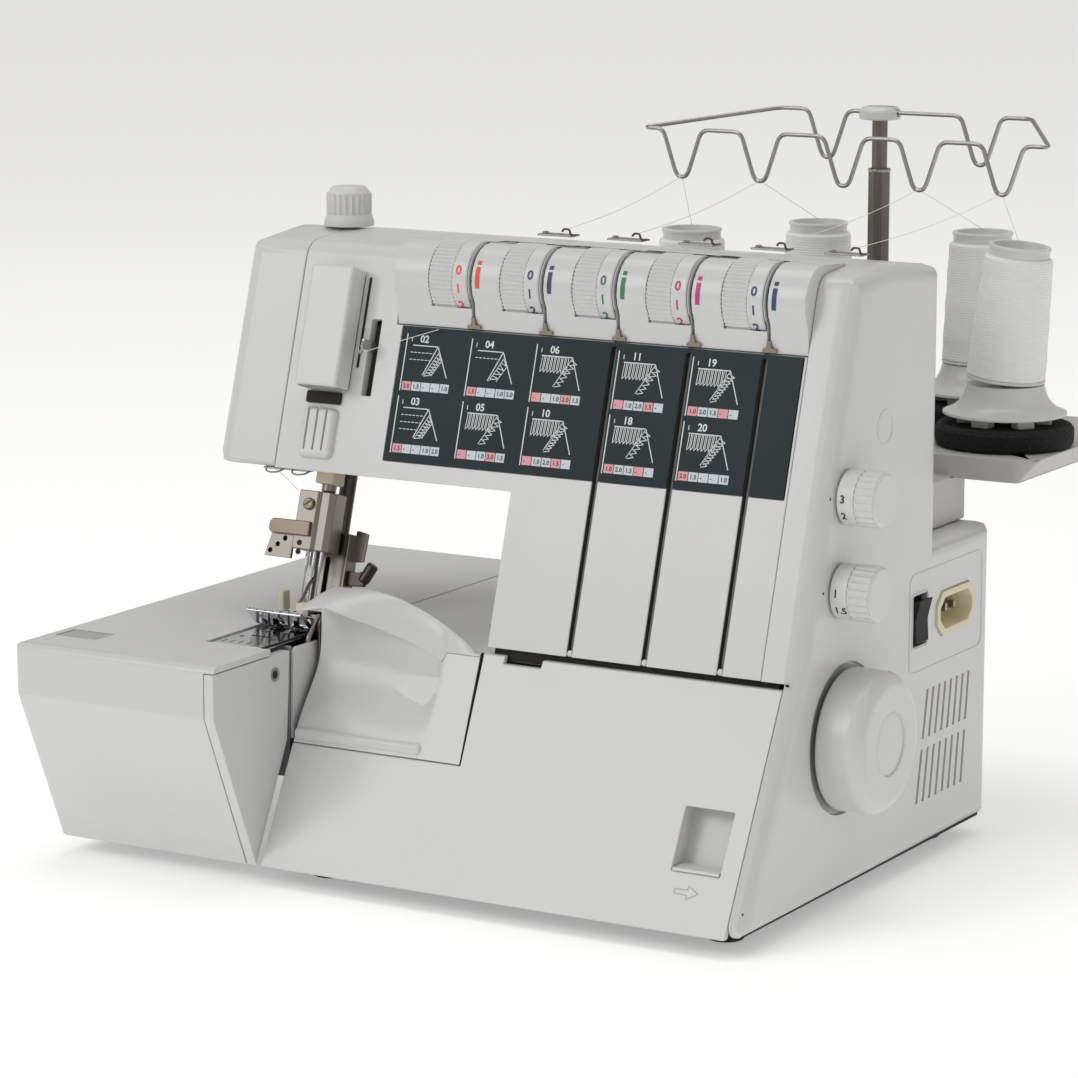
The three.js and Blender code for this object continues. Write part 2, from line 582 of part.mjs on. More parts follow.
function makeLooperGuard() {
  const face = [[GUARD.left, GUARD.low], [GUARD.right, GUARD.low], ...archEdge(0)];
  const sheet = common(alongX(GUARD_SHEET, GUARD.left, GUARD.right), alongY(face, 20, 60));
  const lowerEdge = archEdge(GUARD_RIDGE.thick).reverse();
  const ridge = alongY([...archEdge(0), ...lowerEdge], GUARD_RIDGE.near, GUARD_RIDGE.far);
  const cheek = common(
    alongX(lowerSlab(0, 5, GUARD.low + 0.2, DOOR_TOP - 1), GUARD_CHEEK[3][0], GUARD.right - 0.1),
    alongY(GUARD_CHEEK, 20, 80),
  );
  addPart("looper_guard", join(sheet, ridge, cheek), "shell");
}

// ---------------------------------------------------------------- table, end cap and free arm

function makeTable() {
  const outer = alongXRounded(TABLE_SIDE, TABLE_LEFT, TABLE_RIGHT + 20, 3);
  const trimmed = common(outer, block(FAR_LEFT, TABLE_RIGHT, -60, FAR_BACK, 0, FAR_TOP));
  const hollow = alongX(inset(TABLE_SIDE, WALL), TABLE_LEFT + WALL, TABLE_RIGHT + OVERCUT);
  const openFloor = block(TABLE_LEFT + WALL + 1, TABLE_RIGHT + OVERCUT, 8, LOWER_BACK - WALL - 1, 0, 20);
  const capSeat = alongX(CAP_SEAT, CAP_SEAT_LEFT, TABLE_RIGHT + OVERCUT);
  addPart("table_extension", cut(
    trimmed, hollow, openFloor, capSeat, block(...ARM_SLOT), block(...BUTTON_HOLE),
  ), "shell");
  addPart("table_end_cap", alongX(END_CAP_SIDE, CAP_LEFT, TABLE_RIGHT), "shell");
  addPart("table_release_button", block(...RELEASE_BUTTON), "shellGrey");
}

function makeFreeArm() {
  addPart("free_arm", cut(block(...FREE_ARM), block(...FREE_ARM_HOLLOW)), "casting");
  const feedSlots = PLATE_FEED_SLOTS.map((box) => block(...box));
  addPart("needle_plate", cut(block(...NEEDLE_PLATE), block(...NEEDLE_PLATE_HOLE), ...feedSlots), "chrome");
}

// ---------------------------------------------------------------- head mechanism

function makeHead() {
  addPart("take_up_cover", cut(block(...HOOD), block(...HOOD_HOLLOW)), "shell", slopeFrame);
  addPart("take_up_lever", alongX(LEVER_SIDE, ...LEVER_X), "steel");
  addPart("pressure_knob", turnedZ(KNOB_PROFILE, ...KNOB_AXIS, 24), "shell");
  const needleBar = rodZ(NEEDLE_BAR.radius, NEEDLE_X, NEEDLE_DEPTH, NEEDLE_BAR.low, NEEDLE_BAR.high);
  addPart("needle_bar", needleBar, "steel", slopeFrame);
  const needles = NEEDLE_XS.map((x) => turnedZ(NEEDLE_PROFILE, x, NEEDLE_DEPTH, 10));
  const clamp = join(block(...CLAMP_BLOCK), block(...CLAMP_FAN), ...needles);
  addPart("needle_clamp", clamp, "steel", slopeFrame);
  const presserBar = rodZ(PRESSER_BAR.radius, PRESSER_X, PRESSER_DEPTH, PRESSER_BAR.low, PRESSER_BAR.high);
  addPart("presser_bar", presserBar, "steel", slopeFrame);
  const toe = alongX(FOOT_TOE, FOOT_SOLE[0], FOOT_SOLE[1]);
  const foot = join(block(...FOOT_SOLE), toe, block(...FOOT_ANKLE));
  addPart("presser_foot", cut(foot, block(...FOOT_HOLE)), "chrome");
  addPart("presser_lifter", alongX(LIFTER_SIDE, ...LIFTER_X), "shellGrey");
}

// ---------------------------------------------------------------- loopers, knife and feed

function makeLooperGroup() {
  addPart("lower_looper", alongY(LOWER_LOOPER, ...LOWER_LOOPER_Y), "chrome");
  addPart("upper_looper", alongY(UPPER_LOOPER, ...UPPER_LOOPER_Y), "chrome");
  addPart("upper_knife", alongX(KNIFE_SIDE, ...KNIFE_X), "steel");
  const teeth = FEED_TEETH.map((box) => block(...box));
  addPart("feed_dog", join(block(...FEED_CARRIER), ...teeth), "steel");
}

// ---------------------------------------------------------------- tension group

function makeTensionGroup() {
  const [dialY, dialZ] = DIAL_AXIS;
  const arc = [];
  for (let step = 0; step <= POD_ARC.chords; step += 1) {
    const angle = THREE.MathUtils.degToRad(POD_ARC.start - step * POD_ARC.step);
    arc.push([dialY + POD_RADIUS * Math.cos(angle), dialZ + POD_RADIUS * Math.sin(angle)]);
  }
  const podSide = [[POD_FRONT, POD_FLOOR], ...arc, [POD_BACK, CROWN_TOP], [POD_BACK, POD_FLOOR]];
  const pod = alongX(podSide, POD_LEFT, COVER_SEAM_X);
  const windows = THREAD_SLOTS.map((slot) => rodX(
    DIAL_RADIUS + 0.7, dialY, dialZ, slot - DIAL_WIDTH - 0.9, slot - 0.1, 28,
  ));
  const { near, far, front, frontEnd, topEnd, low, topLow } = THREAD_SLOT;
  const frontSlots = THREAD_SLOTS.map((slot) => {
    return block(slot + near, slot + far, front, frontEnd, low, FAR_TOP);
  });
  const topSlots = THREAD_SLOTS.map((slot) => {
    return block(slot + near, slot + far, front, topEnd, topLow, FAR_TOP);
  });
  const bore = rodX(SHAFT_BORE, dialY, dialZ, POD_LEFT + 8, COVER_SEAM_X - 8, 12);
  addPart("tension_housing", cut(pod, ...windows, ...frontSlots, ...topSlots, bore), "shell");
  THREAD_SLOTS.forEach((slot, index) => {
    const profile = ringProfile(SHAFT_BORE, DIAL_RADIUS, slot - DIAL_WIDTH - 0.5, slot - 0.5);
    addPart(`tension_dial_${index + 1}`, turnedX(profile, dialY, dialZ, 30), "shell");
  });
}

function makeChart() {
  const { left, right, low, high, thick, pocket } = CHART;
  const plate = block(left, right, pocket - SEAM - thick, pocket - SEAM, low, high);
  const gaps = CHANNEL_SLOTS.map((x) => {
    const half = CHANNEL_WIDTH / 2;
    return block(x - half, x + half, -OVERCUT, OVERCUT, 0, high - 2);
  });
  addPart("stitch_chart", cut(plate, ...gaps), "chart", slopeFrame);
}

function makeThreadRail() {
  const clips = THREAD_SLOTS.map((slot) => join(
    block(slot - CLIP.left, slot + CLIP.right, CLIP.front, CLIP.back, CLIP.low, CLIP.high),
    block(slot + CLIP.hookLeft, slot + CLIP.right, CLIP.front, CLIP.front + 4, CLIP.low + 0.2, CLIP.hookTop),
  ));
  addPart("thread_guide_rail", join(block(...RAIL_STRIP), ...clips), "steel");
}

// ---------------------------------------------------------------- drive

function makeDrive() {
  addPart("handwheel", turnedX(WHEEL_PROFILE, ...WHEEL_AXIS, 40), "shell");
  addPart("main_shaft", rodX(SHAFT_RADIUS, ...WHEEL_AXIS, ...MAIN_SHAFT_X), "steel");
  const driveRing = ringProfile(SHAFT_RADIUS + SEAM, DRIVE_RADIUS, ...PULLEY_X);
  addPart("drive_pulley", turnedX(driveRing, ...WHEEL_AXIS, 36), "casting");
  addPart("motor", rodX(MOTOR_RADIUS, ...MOTOR_AXIS, ...MOTOR_X, 28), "casting");
  const { radius, start } = MOTOR_SPINDLE;
  const rotorProfile = [
    [0, start], [radius, start], [radius, PULLEY_X[0]], [MOTOR_PULLEY_RADIUS, PULLEY_X[0]],
    [MOTOR_PULLEY_RADIUS, PULLEY_X[1]], [0, PULLEY_X[1]],
  ];
  addPart("motor_pulley", turnedX(rotorProfile, ...MOTOR_AXIS, 24), "casting");
  const beltX = [PULLEY_X[0] + BELT.inset, PULLEY_X[1] - BELT.inset];
  const belt = alongXWithHole(beltOutline(BELT.outer), beltOutline(BELT.inner), ...beltX);
  addPart("drive_belt", belt, "rubber");
}

// The path round both pulleys, standing off them by the given distance, as [y, z] points.
function beltOutline(offset) {
  const from = new THREE.Vector2(...WHEEL_AXIS);
  const to = new THREE.Vector2(...MOTOR_AXIS);
  const direction = to.clone().sub(from);
  const heading = Math.atan2(direction.y, direction.x);
  const spread = Math.acos((DRIVE_RADIUS - MOTOR_PULLEY_RADIUS) / direction.length());
  const points = [];
  const addArc = (centre, radius, start, sweep, chords) => {
    for (let step = 0; step <= chords; step += 1) {
      const angle = start + (sweep * step) / chords;
      points.push(new THREE.Vector2(Math.cos(angle), Math.sin(angle)).multiplyScalar(radius).add(centre));
    }
  };
  const chordRise = 1 / Math.cos(Math.PI / BELT.facets);
  const wheelArc = (DRIVE_RADIUS + offset) * chordRise;
  addArc(from, wheelArc, heading + spread, 2 * (Math.PI - spread), BELT.wheelChords);
  addArc(to, (MOTOR_PULLEY_RADIUS + offset) * chordRise, heading - spread, 2 * spread, BELT.motorChords);
  return points;
}

function alongXWithHole(points, holePoints, x0, x1) {
  const shape = new THREE.Shape(points);
  shape.holes.push(new THREE.Path(holePoints));
  const geometry = new THREE.ExtrudeGeometry(shape, { depth: x1 - x0, bevelEnabled: false, steps: 1 });
  return geometry.applyMatrix4(TO_X).translate(x0, 0, 0);
}

// ---------------------------------------------------------------- right-hand controls

function makeControls() {
  const names = ["stitch_length_dial", "differential_dial"];
  [STITCH_DIAL, FEED_DIAL].forEach(({ y, z, radius, out }, index) => {
    const profile = [
      [0, SPINDLE.inner], [SPINDLE.radius, SPINDLE.inner], [SPINDLE.radius, SPINDLE.shoulder],
      [radius, SPINDLE.shoulder], [radius, out - SPINDLE.round], [radius - SPINDLE.round, out], [0, out],
    ];
    addPart(names[index], turnedX(profile, y, z, 28), "shell");
  });
  addPart("power_switch", alongY(ROCKER, ...ROCKER_Y), "black");
  const socket = cut(
    alongX(inletOutline(...INLET_BODY), SOCKET_X.back, SOCKET_X.front),
    alongX(inletOutline(...INLET_MOUTH), SOCKET_X.mouth, OVERCUT),
  );
  addPart("power_inlet", socket, "ivory");
}

// ---------------------------------------------------------------- spool stand

function makeSpoolStand() {
  const { left, right, front, back, low, high } = TRAY;
  const ends = [[left + TRAY_TAPER, low], [right - TRAY_TAPER, low], [right, high], [left, high]];
  const spots = [[left, front], [right, front], [right, back], [left, back]];
  const plan = spots.map(([x, y]) => [x, y, TRAY_CORNER]);
  const tray = common(alongY(ends, front, back), alongZ(plan, low - OVERCUT, high + OVERCUT));
  const pins = [...SPOOLS, EMPTY_PIN].map(([x, y]) => {
    return rodZ(SPOOL_PIN.radius, x, y, high - 1, SPOOL_PIN.top, 10);
  });
  addPart("spool_stand", join(block(...STAND_COLUMN), tray, ...pins), "shellGrey");
}

function makeSpools() {
  SPOOLS.forEach(([x, y], index) => {
    addPart(`spool_rest_${index + 1}`, turnedZ(REST_PROFILE, x, y, 24), "black");
    const cone = addPart(`thread_cone_${index + 1}`, turnedZ(CONE_PROFILE, 0, 0, 24), "thread");
    const lean = CONE_LEAN[index];
    cone.position.set(x, y, CONE_SEAT.height + CONE_SEAT.radius * Math.sin(lean));
    cone.rotation.y = lean;
  });
}

// ---------------------------------------------------------------- telescopic mast

function hookPoints(x, y, z, direction) {
  const across = [-HOOK.top, -HOOK.bottom, HOOK.bottom, HOOK.top];
  const down = [0, HOOK.depth - HOOK.round, HOOK.depth - HOOK.round, 0];
  const points = across.map((offset, index) => new THREE.Vector3(x + direction * offset, y, z - down[index]));
  points.splice(2, 0, new THREE.Vector3(x, y, z - HOOK.depth));
  return points;
}

function makeMast() {
  const [x, y] = MAST;
  const tubes = MAST_TUBES;
  const lowerTube = ringProfile(tubes.inner, tubes.outer, TRAY.high + SEAM, MAST_JOINT);
  addPart("mast_lower", turnedZ(lowerTube, x, y, 24), "bronze");
  addPart("mast_upper", rodZ(tubes.upper, x, y, tubes.upperLow, tubes.upperHigh, 20), "bronze");
  const { half, low, reach } = CAP_GROOVE;
  const groove = block(x - reach, x + reach, y - half, y + half, low, low + reach);
  addPart("mast_cap", cut(turnedZ(CAP_PROFILE, x, y, 24), groove), "shell");
  const { frontY, frontZ, backZ, left, right, steps } = WIRE;
  const { start, rightHook, rightEnd, leftEnd, leftHook, gap } = WIRE_BACK;
  const points = [new THREE.Vector3(x + gap, y, backZ), new THREE.Vector3(x + start, y, backZ)];
  points.push(...hookPoints(rightHook, y, backZ, 1));
  points.push(new THREE.Vector3(rightEnd, y, backZ), new THREE.Vector3(right, frontY, frontZ));
  for (const hookX of HOOK_XS) {
    points.push(...hookPoints(hookX, frontY, frontZ, -1));
  }
  points.push(new THREE.Vector3(left, frontY, frontZ), new THREE.Vector3(leftEnd, y, backZ));
  points.push(...hookPoints(leftHook, y, backZ, 1));
  points.push(new THREE.Vector3(x - gap, y, backZ));
  const path = new THREE.CatmullRomCurve3(points, false, "centripetal");
  const section = new THREE.Shape();
  section.absarc(0, 0, WIRE_RADIUS, 0, 2 * Math.PI);
  const wire = new THREE.ExtrudeGeometry(section, { steps, extrudePath: path, curveSegments: 3 });
  addPart("thread_guide_wire", wire, "chrome");
}

// ---------------------------------------------------------------- assembly

makeBase();
makeFrame();
makeUpperHousing();
makeFaceCover();
makeBeltCover();
makeLowerHousing();
makeFrontCover();
makeLooperGuard();
makeTable();
makeFreeArm();
makeHead();
makeLooperGroup();
makeTensionGroup();
makeChart();
makeThreadRail();
makeDrive();
makeControls();
makeSpoolStand();
makeSpools();
makeMast();

export default machine;
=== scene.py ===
"""Five-thread coverlock sewing machine: the visual model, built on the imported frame.

Local coordinates are millimetres: x from the right-hand face, y from the lower front edge and
z from the ground. Pieces drawn on the sloping front use (x, depth, rise) in that slope's own frame.
A Datum turns both into metres in the shared frame.
"""

import logging
import math
from collections.abc import Callable, Iterable, Sequence
from dataclasses import dataclass, field
from enum import Enum
from typing import Protocol

import bmesh
import bpy
from mathutils import Matrix, Vector


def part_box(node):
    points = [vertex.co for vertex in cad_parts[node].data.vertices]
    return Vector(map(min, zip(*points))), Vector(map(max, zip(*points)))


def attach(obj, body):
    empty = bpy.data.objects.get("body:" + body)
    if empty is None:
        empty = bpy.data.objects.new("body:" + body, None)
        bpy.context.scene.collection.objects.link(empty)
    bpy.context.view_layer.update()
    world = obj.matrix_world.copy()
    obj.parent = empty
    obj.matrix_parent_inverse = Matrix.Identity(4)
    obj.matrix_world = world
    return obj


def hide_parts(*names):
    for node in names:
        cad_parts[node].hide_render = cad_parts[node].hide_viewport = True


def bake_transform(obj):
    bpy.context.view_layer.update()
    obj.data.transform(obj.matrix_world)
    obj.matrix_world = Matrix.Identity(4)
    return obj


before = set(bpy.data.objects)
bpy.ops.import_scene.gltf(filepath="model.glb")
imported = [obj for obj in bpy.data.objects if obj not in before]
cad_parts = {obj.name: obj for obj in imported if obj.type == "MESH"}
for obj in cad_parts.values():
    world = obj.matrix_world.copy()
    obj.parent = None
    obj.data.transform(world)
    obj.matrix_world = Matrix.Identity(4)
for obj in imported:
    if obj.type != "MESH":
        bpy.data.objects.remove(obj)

log = logging.getLogger("coverlock")

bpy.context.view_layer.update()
MM = 0.001
FINE_TURN = math.radians(6)
QUARTER = math.pi / 2
FULL_TURN = 2 * math.pi
SMOOTH_LIMIT = math.radians(33)

Corner = tuple[float, ...]
Point2 = tuple[float, float]
Point3 = tuple[float, float, float]
Mapping = Callable[[float, float], Point3]


class Axis(Enum):
    """The direction that an outline is extruded along or a profile is turned about."""

    X = "x"
    Y = "y"
    Z = "z"


class Body(Enum):
    """The rigid bodies that added pieces ride on."""

    ROOT = "root"
    DRIVE = "drive_line"
    NEEDLE = "needle_assembly"
    PRESSER = "presser_assembly"
    PRESSURE = "pressure_screw"
    LENGTH_DIAL = "length_dial"
    FEED_DIAL = "feed_dial"
    COVER = "cover"
    TABLE = "table"
    TAKE_UP = "take_up"
    MAST = "mast_slider"
    DIAL_1 = "dial_1"
    DIAL_2 = "dial_2"
    DIAL_3 = "dial_3"
    DIAL_4 = "dial_4"
    DIAL_5 = "dial_5"


DIAL_BODIES = (Body.DIAL_1, Body.DIAL_2, Body.DIAL_3, Body.DIAL_4, Body.DIAL_5)


# ---------------------------------------------------------------- where things are


@dataclass(frozen=True)
class BodyLines:
    """The side view that the covers share, in local millimetres."""

    table_front: float = -32.3
    foot: float = 8.0
    lower_top: Point2 = (55.05, 112.3)
    upper_slope: float = 0.3067
    thread_slots: tuple[float, ...] = (-197.0, -158.0, -119.0, -80.0, -41.0)

    @property
    def lean(self) -> float:
        """Lean of the upper front from vertical, in radians."""
        return math.atan(self.upper_slope)

    def lower_front(self, z: float) -> float:
        """Depth y of the lower front at height z."""
        return (z - self.foot) * self.lower_top[0] / (self.lower_top[1] - self.foot)

    def slope(self) -> Matrix:
        """Matrix from (x, depth, rise) on the sloping front to local x, y, z."""
        return Matrix.Translation((0, *self.lower_top)) @ Matrix.Rotation(-self.lean, 4, "X")


LINES = BodyLines()


@dataclass(frozen=True)
class Datum:
    """Ties local millimetres to the frame."""

    right: float
    front: float

    @classmethod
    def from_frame(cls) -> "Datum":
        """Read the right-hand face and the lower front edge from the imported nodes."""
        table_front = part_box("table_extension")[0][1]
        return cls(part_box("belt_cover")[1][0], table_front - LINES.table_front * MM)

    def matrix(self) -> Matrix:
        """Matrix from local millimetres to the frame's metres."""
        return Matrix.Translation((self.right, self.front, 0)) @ Matrix.Scale(MM, 4)


DATUM = Datum.from_frame()


# ---------------------------------------------------------------- outlines


@dataclass
class Outline:
    """A closed counter-clockwise outline of corners, each (u, v) or (u, v, radius)."""

    corners: Sequence[Corner]

    def _directions(self, index: int) -> tuple[Vector, Vector, float]:
        """Give the directions of the edges that meet at a corner, and the turn between them."""
        here = Vector(self.corners[index][:2])
        arriving = (here - Vector(self.corners[index - 1][:2])).normalized()
        leaving = (Vector(self.corners[(index + 1) % len(self.corners)][:2]) - here).normalized()
        turn = math.atan2(arriving.x * leaving.y - arriving.y * leaving.x, arriving.dot(leaving))
        return arriving, leaving, turn

    def points(self, distance: float = 0.0) -> list[Vector]:
        """Sample the outline after moving every edge inwards.

        Args:
            distance: How far the edges move in.

        Returns:
            The same number of points for any distance.
        """
        sampled = []
        for index, corner in enumerate(self.corners):
            arriving, _, turn = self._directions(index)
            normal = Vector((-arriving.y, arriving.x))
            here = Vector(corner[:2]) + normal * distance - arriving * distance * math.tan(turn / 2)
            radius = corner[2] if len(corner) > 2 else 0.0
            if radius == 0:
                sampled.append(here)
                continue
            radius = max(radius - math.copysign(distance, turn), 0.02)
            start = here - arriving * radius * math.tan(abs(turn) / 2)
            centre = start + normal * math.copysign(radius, turn)
            chords = max(2, math.ceil(abs(turn) / FINE_TURN))
            for step in range(chords + 1):
                sampled.append(centre + Matrix.Rotation(turn * step / chords, 2) @ (start - centre))
        return sampled


def rectangle(left: float, right: float, low: float, high: float, radius: float = 0.0) -> list[Corner]:
    """Corners of a rectangle, rounded by one radius."""
    return [(left, low, radius), (right, low, radius), (right, high, radius), (left, high, radius)]


def disc(centre: Point2, radius: float, sides: int = 48) -> list[Corner]:
    """Corners of a many-sided disc."""
    turns = [FULL_TURN * side / sides for side in range(sides)]
    return [(centre[0] + radius * math.cos(turn), centre[1] + radius * math.sin(turn)) for turn in turns]


def ribbed_disc(centre: Point2, radius: float, depth: float, ribs: int) -> list[Corner]:
    """Corners of a disc with raised ribs.

    Args:
        centre: Its middle.
        radius: Radius over the ribs.
        depth: Depth of the grooves between them.
        ribs: How many ribs.

    Returns:
        The corners, six for each rib.
    """
    shares = ((0.0, 1.0), (0.16, 0.25), (0.34, 0.0), (0.56, 0.0), (0.74, 0.25), (0.9, 1.0))
    corners = []
    for rib in range(ribs):
        for share, fall in shares:
            turn = FULL_TURN * (rib + share) / ribs
            reach = radius - depth * (1 - fall)
            corners.append((centre[0] + reach * math.cos(turn), centre[1] + reach * math.sin(turn)))
    return corners


def bent_path(points: Sequence[Point3], reach: float, steps: int = 6) -> list[Vector]:
    """Round the corners of an open path with short bends.

    Args:
        points: The path's corners.
        reach: How far from a corner its bend starts and ends.
        steps: Chords in each bend.

    Returns:
        The bent path, with its ends unmoved.
    """
    corners = [Vector(point) for point in points]
    path = [corners[0]]
    for before, here, after in zip(corners, corners[1:], corners[2:]):
        first = here.lerp(before, min(reach / max((before - here).length, 1e-6), 0.48))
        last = here.lerp(after, min(reach / max((after - here).length, 1e-6), 0.48))
        for step in range(steps + 1):
            share = step / steps
            path.append(first.lerp(here, share).lerp(here.lerp(last, share), share))
    return [*path, corners[-1]]


# ---------------------------------------------------------------- meshes


def lift(point: Sequence[float], along: float, axis: Axis) -> Point3:
    """Place an outline point in space.

    Args:
        point: The outline's u, v.
        along: Position along the axis.
        axis: X takes u, v as y, z; Y takes them as x, z; Z takes them as x, y.

    Returns:
        Local x, y, z.
    """
    if axis is Axis.X:
        return (along, point[0], point[1])
    if axis is Axis.Y:
        return (point[0], along, point[1])
    return (point[0], point[1], along)


def mesh_object(
    name: str, points: Iterable[Sequence[float]], faces: Iterable[Sequence[int]],
) -> bpy.types.Object:
    """Make an object in local millimetres, its faces pointing out.

    Args:
        name: The object's name.
        points: Its vertices.
        faces: Vertex numbers of each face.

    Returns:
        The linked object.
    """
    mesh = bpy.data.meshes.new(name)
    mesh.from_pydata([tuple(point) for point in points], [], [tuple(face) for face in faces])
    work = bmesh.new()
    work.from_mesh(mesh)
    bmesh.ops.remove_doubles(work, verts=work.verts, dist=1e-4)
    bmesh.ops.recalc_face_normals(work, faces=work.faces)
    work.to_mesh(mesh)
    work.free()
    made = bpy.data.objects.new(name, mesh)
    bpy.context.scene.collection.objects.link(made)
    return made


def loft(name: str, rings: Sequence[Sequence[Sequence[float]]], closed: bool = False) -> bpy.types.Object:
    """Skin rings of equal length into one solid.

    Args:
        name: The object's name.
        rings: The rings, in order.
        closed: True joins the last ring to the first instead of capping the ends.

    Returns:
        The object.
    """
    count = len(rings[0])
    faces: list[tuple[int, ...]] = []
    for span in range(len(rings) if closed else len(rings) - 1):
        here, there = span * count, (span + 1) % len(rings) * count
        for index in range(count):
            after = (index + 1) % count
            faces.append((here + index, here + after, there + after, there + index))
    if not closed:
        last = (len(rings) - 1) * count
        faces += [tuple(range(count)), tuple(range(last, last + count))]
    return mesh_object(name, (point for ring in rings for point in ring), faces)


def prism(
    name: str, corners: Sequence[Corner], low: float, high: float, axis: Axis = Axis.X,
    round_low: float = 0.0, round_high: float = 0.0,
) -> bpy.types.Object:
    """Extrude an outline, rounding its end edges if asked.

    Args:
        name: The object's name.
        corners: The outline.
        low: Where it starts along the axis.
        high: Where it ends.
        axis: The direction of the extrusion.
        round_low: Radius of the edge at the low end.
        round_high: Radius of the edge at the high end.

    Returns:
        The object.
    """
    shape = Outline(corners)
    steps = 6
    stations = [(low, round_low)]
    turns = [QUARTER * step / steps for step in range(1, steps + 1)]
    if round_low > 0:
        stations += [
            (low + round_low * (1 - math.cos(turn)), round_low * (1 - math.sin(turn))) for turn in turns
        ]
    if round_high > 0:
        stations += [
            (high - round_high * (1 - math.sin(turn)), round_high * (1 - math.cos(turn)))
            for turn in [0.0, *turns]
        ]
    else:
        stations.append((high, 0.0))
    return loft(
        name, [[lift(point, along, axis) for point in shape.points(inset)] for along, inset in stations]
    )


def turned(
    name: str, profile: Sequence[Point2], centre: Point2, axis: Axis = Axis.Z, sides: int = 96,
) -> bpy.types.Object:
    """Turn a profile about an axis.

    Args:
        name: The object's name.
        profile: (radius, along) points; equal first and last points make a ring.
        centre: The axis position, as lift() takes it.
        axis: The axis direction.
        sides: Chords in a full turn.

    Returns:
        The object.
    """
    ring = profile[0] == profile[-1]
    rows = profile[:-1] if ring else profile
    rings = [
        [lift(corner, along, axis) for corner in disc(centre, max(radius, 1e-3), sides)]
        for radius, along in rows
    ]
    return loft(name, rings, closed=ring)


def tube(name: str, path: Sequence[Vector], radius: float, sides: int = 14) -> bpy.types.Object:
    """Sweep a round section along a path.

    Args:
        name: The object's name.
        path: The points it follows.
        radius: Radius of the section.
        sides: Chords round the section.

    Returns:
        The object.
    """
    points = [Vector(point) for point in path]
    rings = []
    side = (points[1] - points[0]).orthogonal().normalized()
    for index, point in enumerate(points):
        heading = (points[min(index + 1, len(points) - 1)] - points[max(index - 1, 0)]).normalized()
        side = (side - heading * side.dot(heading)).normalized()
        other = heading.cross(side)
        turns = [FULL_TURN * step / sides for step in range(sides)]
        rings.append([point + (side * math.cos(turn) + other * math.sin(turn)) * radius for turn in turns])
    return loft(name, rings)


def with_cuts(base: bpy.types.Object, *tools: bpy.types.Object) -> bpy.types.Object:
    """Cut tools out of a solid and remove them.

    Args:
        base: The solid.
        tools: What is cut away.

    Returns:
        The base.
    """
    for tool in tools:
        cut = base.modifiers.new("cut", "BOOLEAN")
        cut.operation = "DIFFERENCE"
        cut.solver = "EXACT"
        cut.object = tool
    result = base.evaluated_get(bpy.context.evaluated_depsgraph_get())
    mesh = bpy.data.meshes.new_from_object(result)
    base.modifiers.clear()
    base.data = mesh
    for tool in tools:
        bpy.data.objects.remove(tool)
    return base


def gathered(name: str, parts: Sequence[bpy.types.Object]) -> bpy.types.Object:
    """Gather several meshes into one object.

    Args:
        name: The object's name.
        parts: The objects, which are removed.

    Returns:
        The new object.
    """
    work = bmesh.new()
    for part in parts:
        work.from_mesh(part.data)
        bpy.data.objects.remove(part)
    mesh = bpy.data.meshes.new(name)
    work.to_mesh(mesh)
    work.free()
    made = bpy.data.objects.new(name, mesh)
    bpy.context.scene.collection.objects.link(made)
    return made


@dataclass
class Print:
    """Flat printing: thin shapes in a plane that a mapping lays on a surface."""

    shapes: list[list[Point2]] = field(default_factory=list)

    def area(self, corners: Sequence[Corner]) -> None:
        """Add a filled convex outline."""
        self.shapes.append([(point.x, point.y) for point in Outline(corners).points()])

    def box(self, left: float, right: float, low: float, high: float) -> None:
        """Add a filled rectangle."""
        self.area(rectangle(left, right, low, high))

    def line(self, start: Point2, end: Point2, width: float) -> None:
        """Add a straight stroke of even width."""
        along = (Vector(end) - Vector(start)).normalized()
        across = Vector((-along.y, along.x)) * width / 2
        ends = [Vector(start) - across, Vector(end) - across, Vector(end) + across, Vector(start) + across]
        self.shapes.append([tuple(corner) for corner in ends])

    def stroke(self, points: Sequence[Point2], width: float) -> None:
        """Add straight strokes through several points."""
        for start, end in zip(points, points[1:]):
            self.line(start, end, width)

    def words(self, text: str, at: Point2, height: float) -> None:
        """Add generic figures or letters whose lower left corner is at a point.

        Args:
            text: What is printed.
            at: Lower left corner.
            height: Height of a capital.
        """
        curve = bpy.data.curves.new("figures", "FONT")
        curve.body = text
        curve.size = height / 0.72
        curve.offset = 0.032 * height
        curve.resolution_u = 3
        holder = bpy.data.objects.new("figures", curve)
        mesh = bpy.data.meshes.new_from_object(holder)
        for face in mesh.polygons:
            corners = [mesh.vertices[index].co for index in face.vertices]
            self.shapes.append([(corner.x + at[0], corner.y + at[1]) for corner in corners])
        bpy.data.objects.remove(holder)
        bpy.data.curves.remove(curve)
        bpy.data.meshes.remove(mesh)

    def lay(self, name: str, mapping: Mapping) -> bpy.types.Object:
        """Lay the printing on a surface.

        Args:
            name: The piece's name.
            mapping: Takes u, v to a point on the surface.

        Returns:
            The object, in the mapping's coordinates.
        """
        points: list[Point3] = []
        faces: list[tuple[int, ...]] = []
        for shape in self.shapes:
            faces.append(tuple(range(len(points), len(points) + len(shape))))
            points += [mapping(u, v) for u, v in shape]
        mesh = bpy.data.meshes.new(name)
        mesh.from_pydata(points, [], faces)
        made = bpy.data.objects.new(name, mesh)
        bpy.context.scene.collection.objects.link(made)
        return made


# ---------------------------------------------------------------- shared shader effects

Colour = tuple[float, float, float]

COAT_ROUGHNESS = 0.12
DUST_SCALE = 160.0
# Reach of the painted edge highlight, in metres.
EDGE_HIGHLIGHT_REACH = 0.0006
SCATTER_REACH = (0.0012, 0.0011, 0.001)
BRUSHED_STRETCH = (1.0, 1.0, 0.06)
MOTTLE_SCALE = 21.0
PALE_LEVEL = 0.72


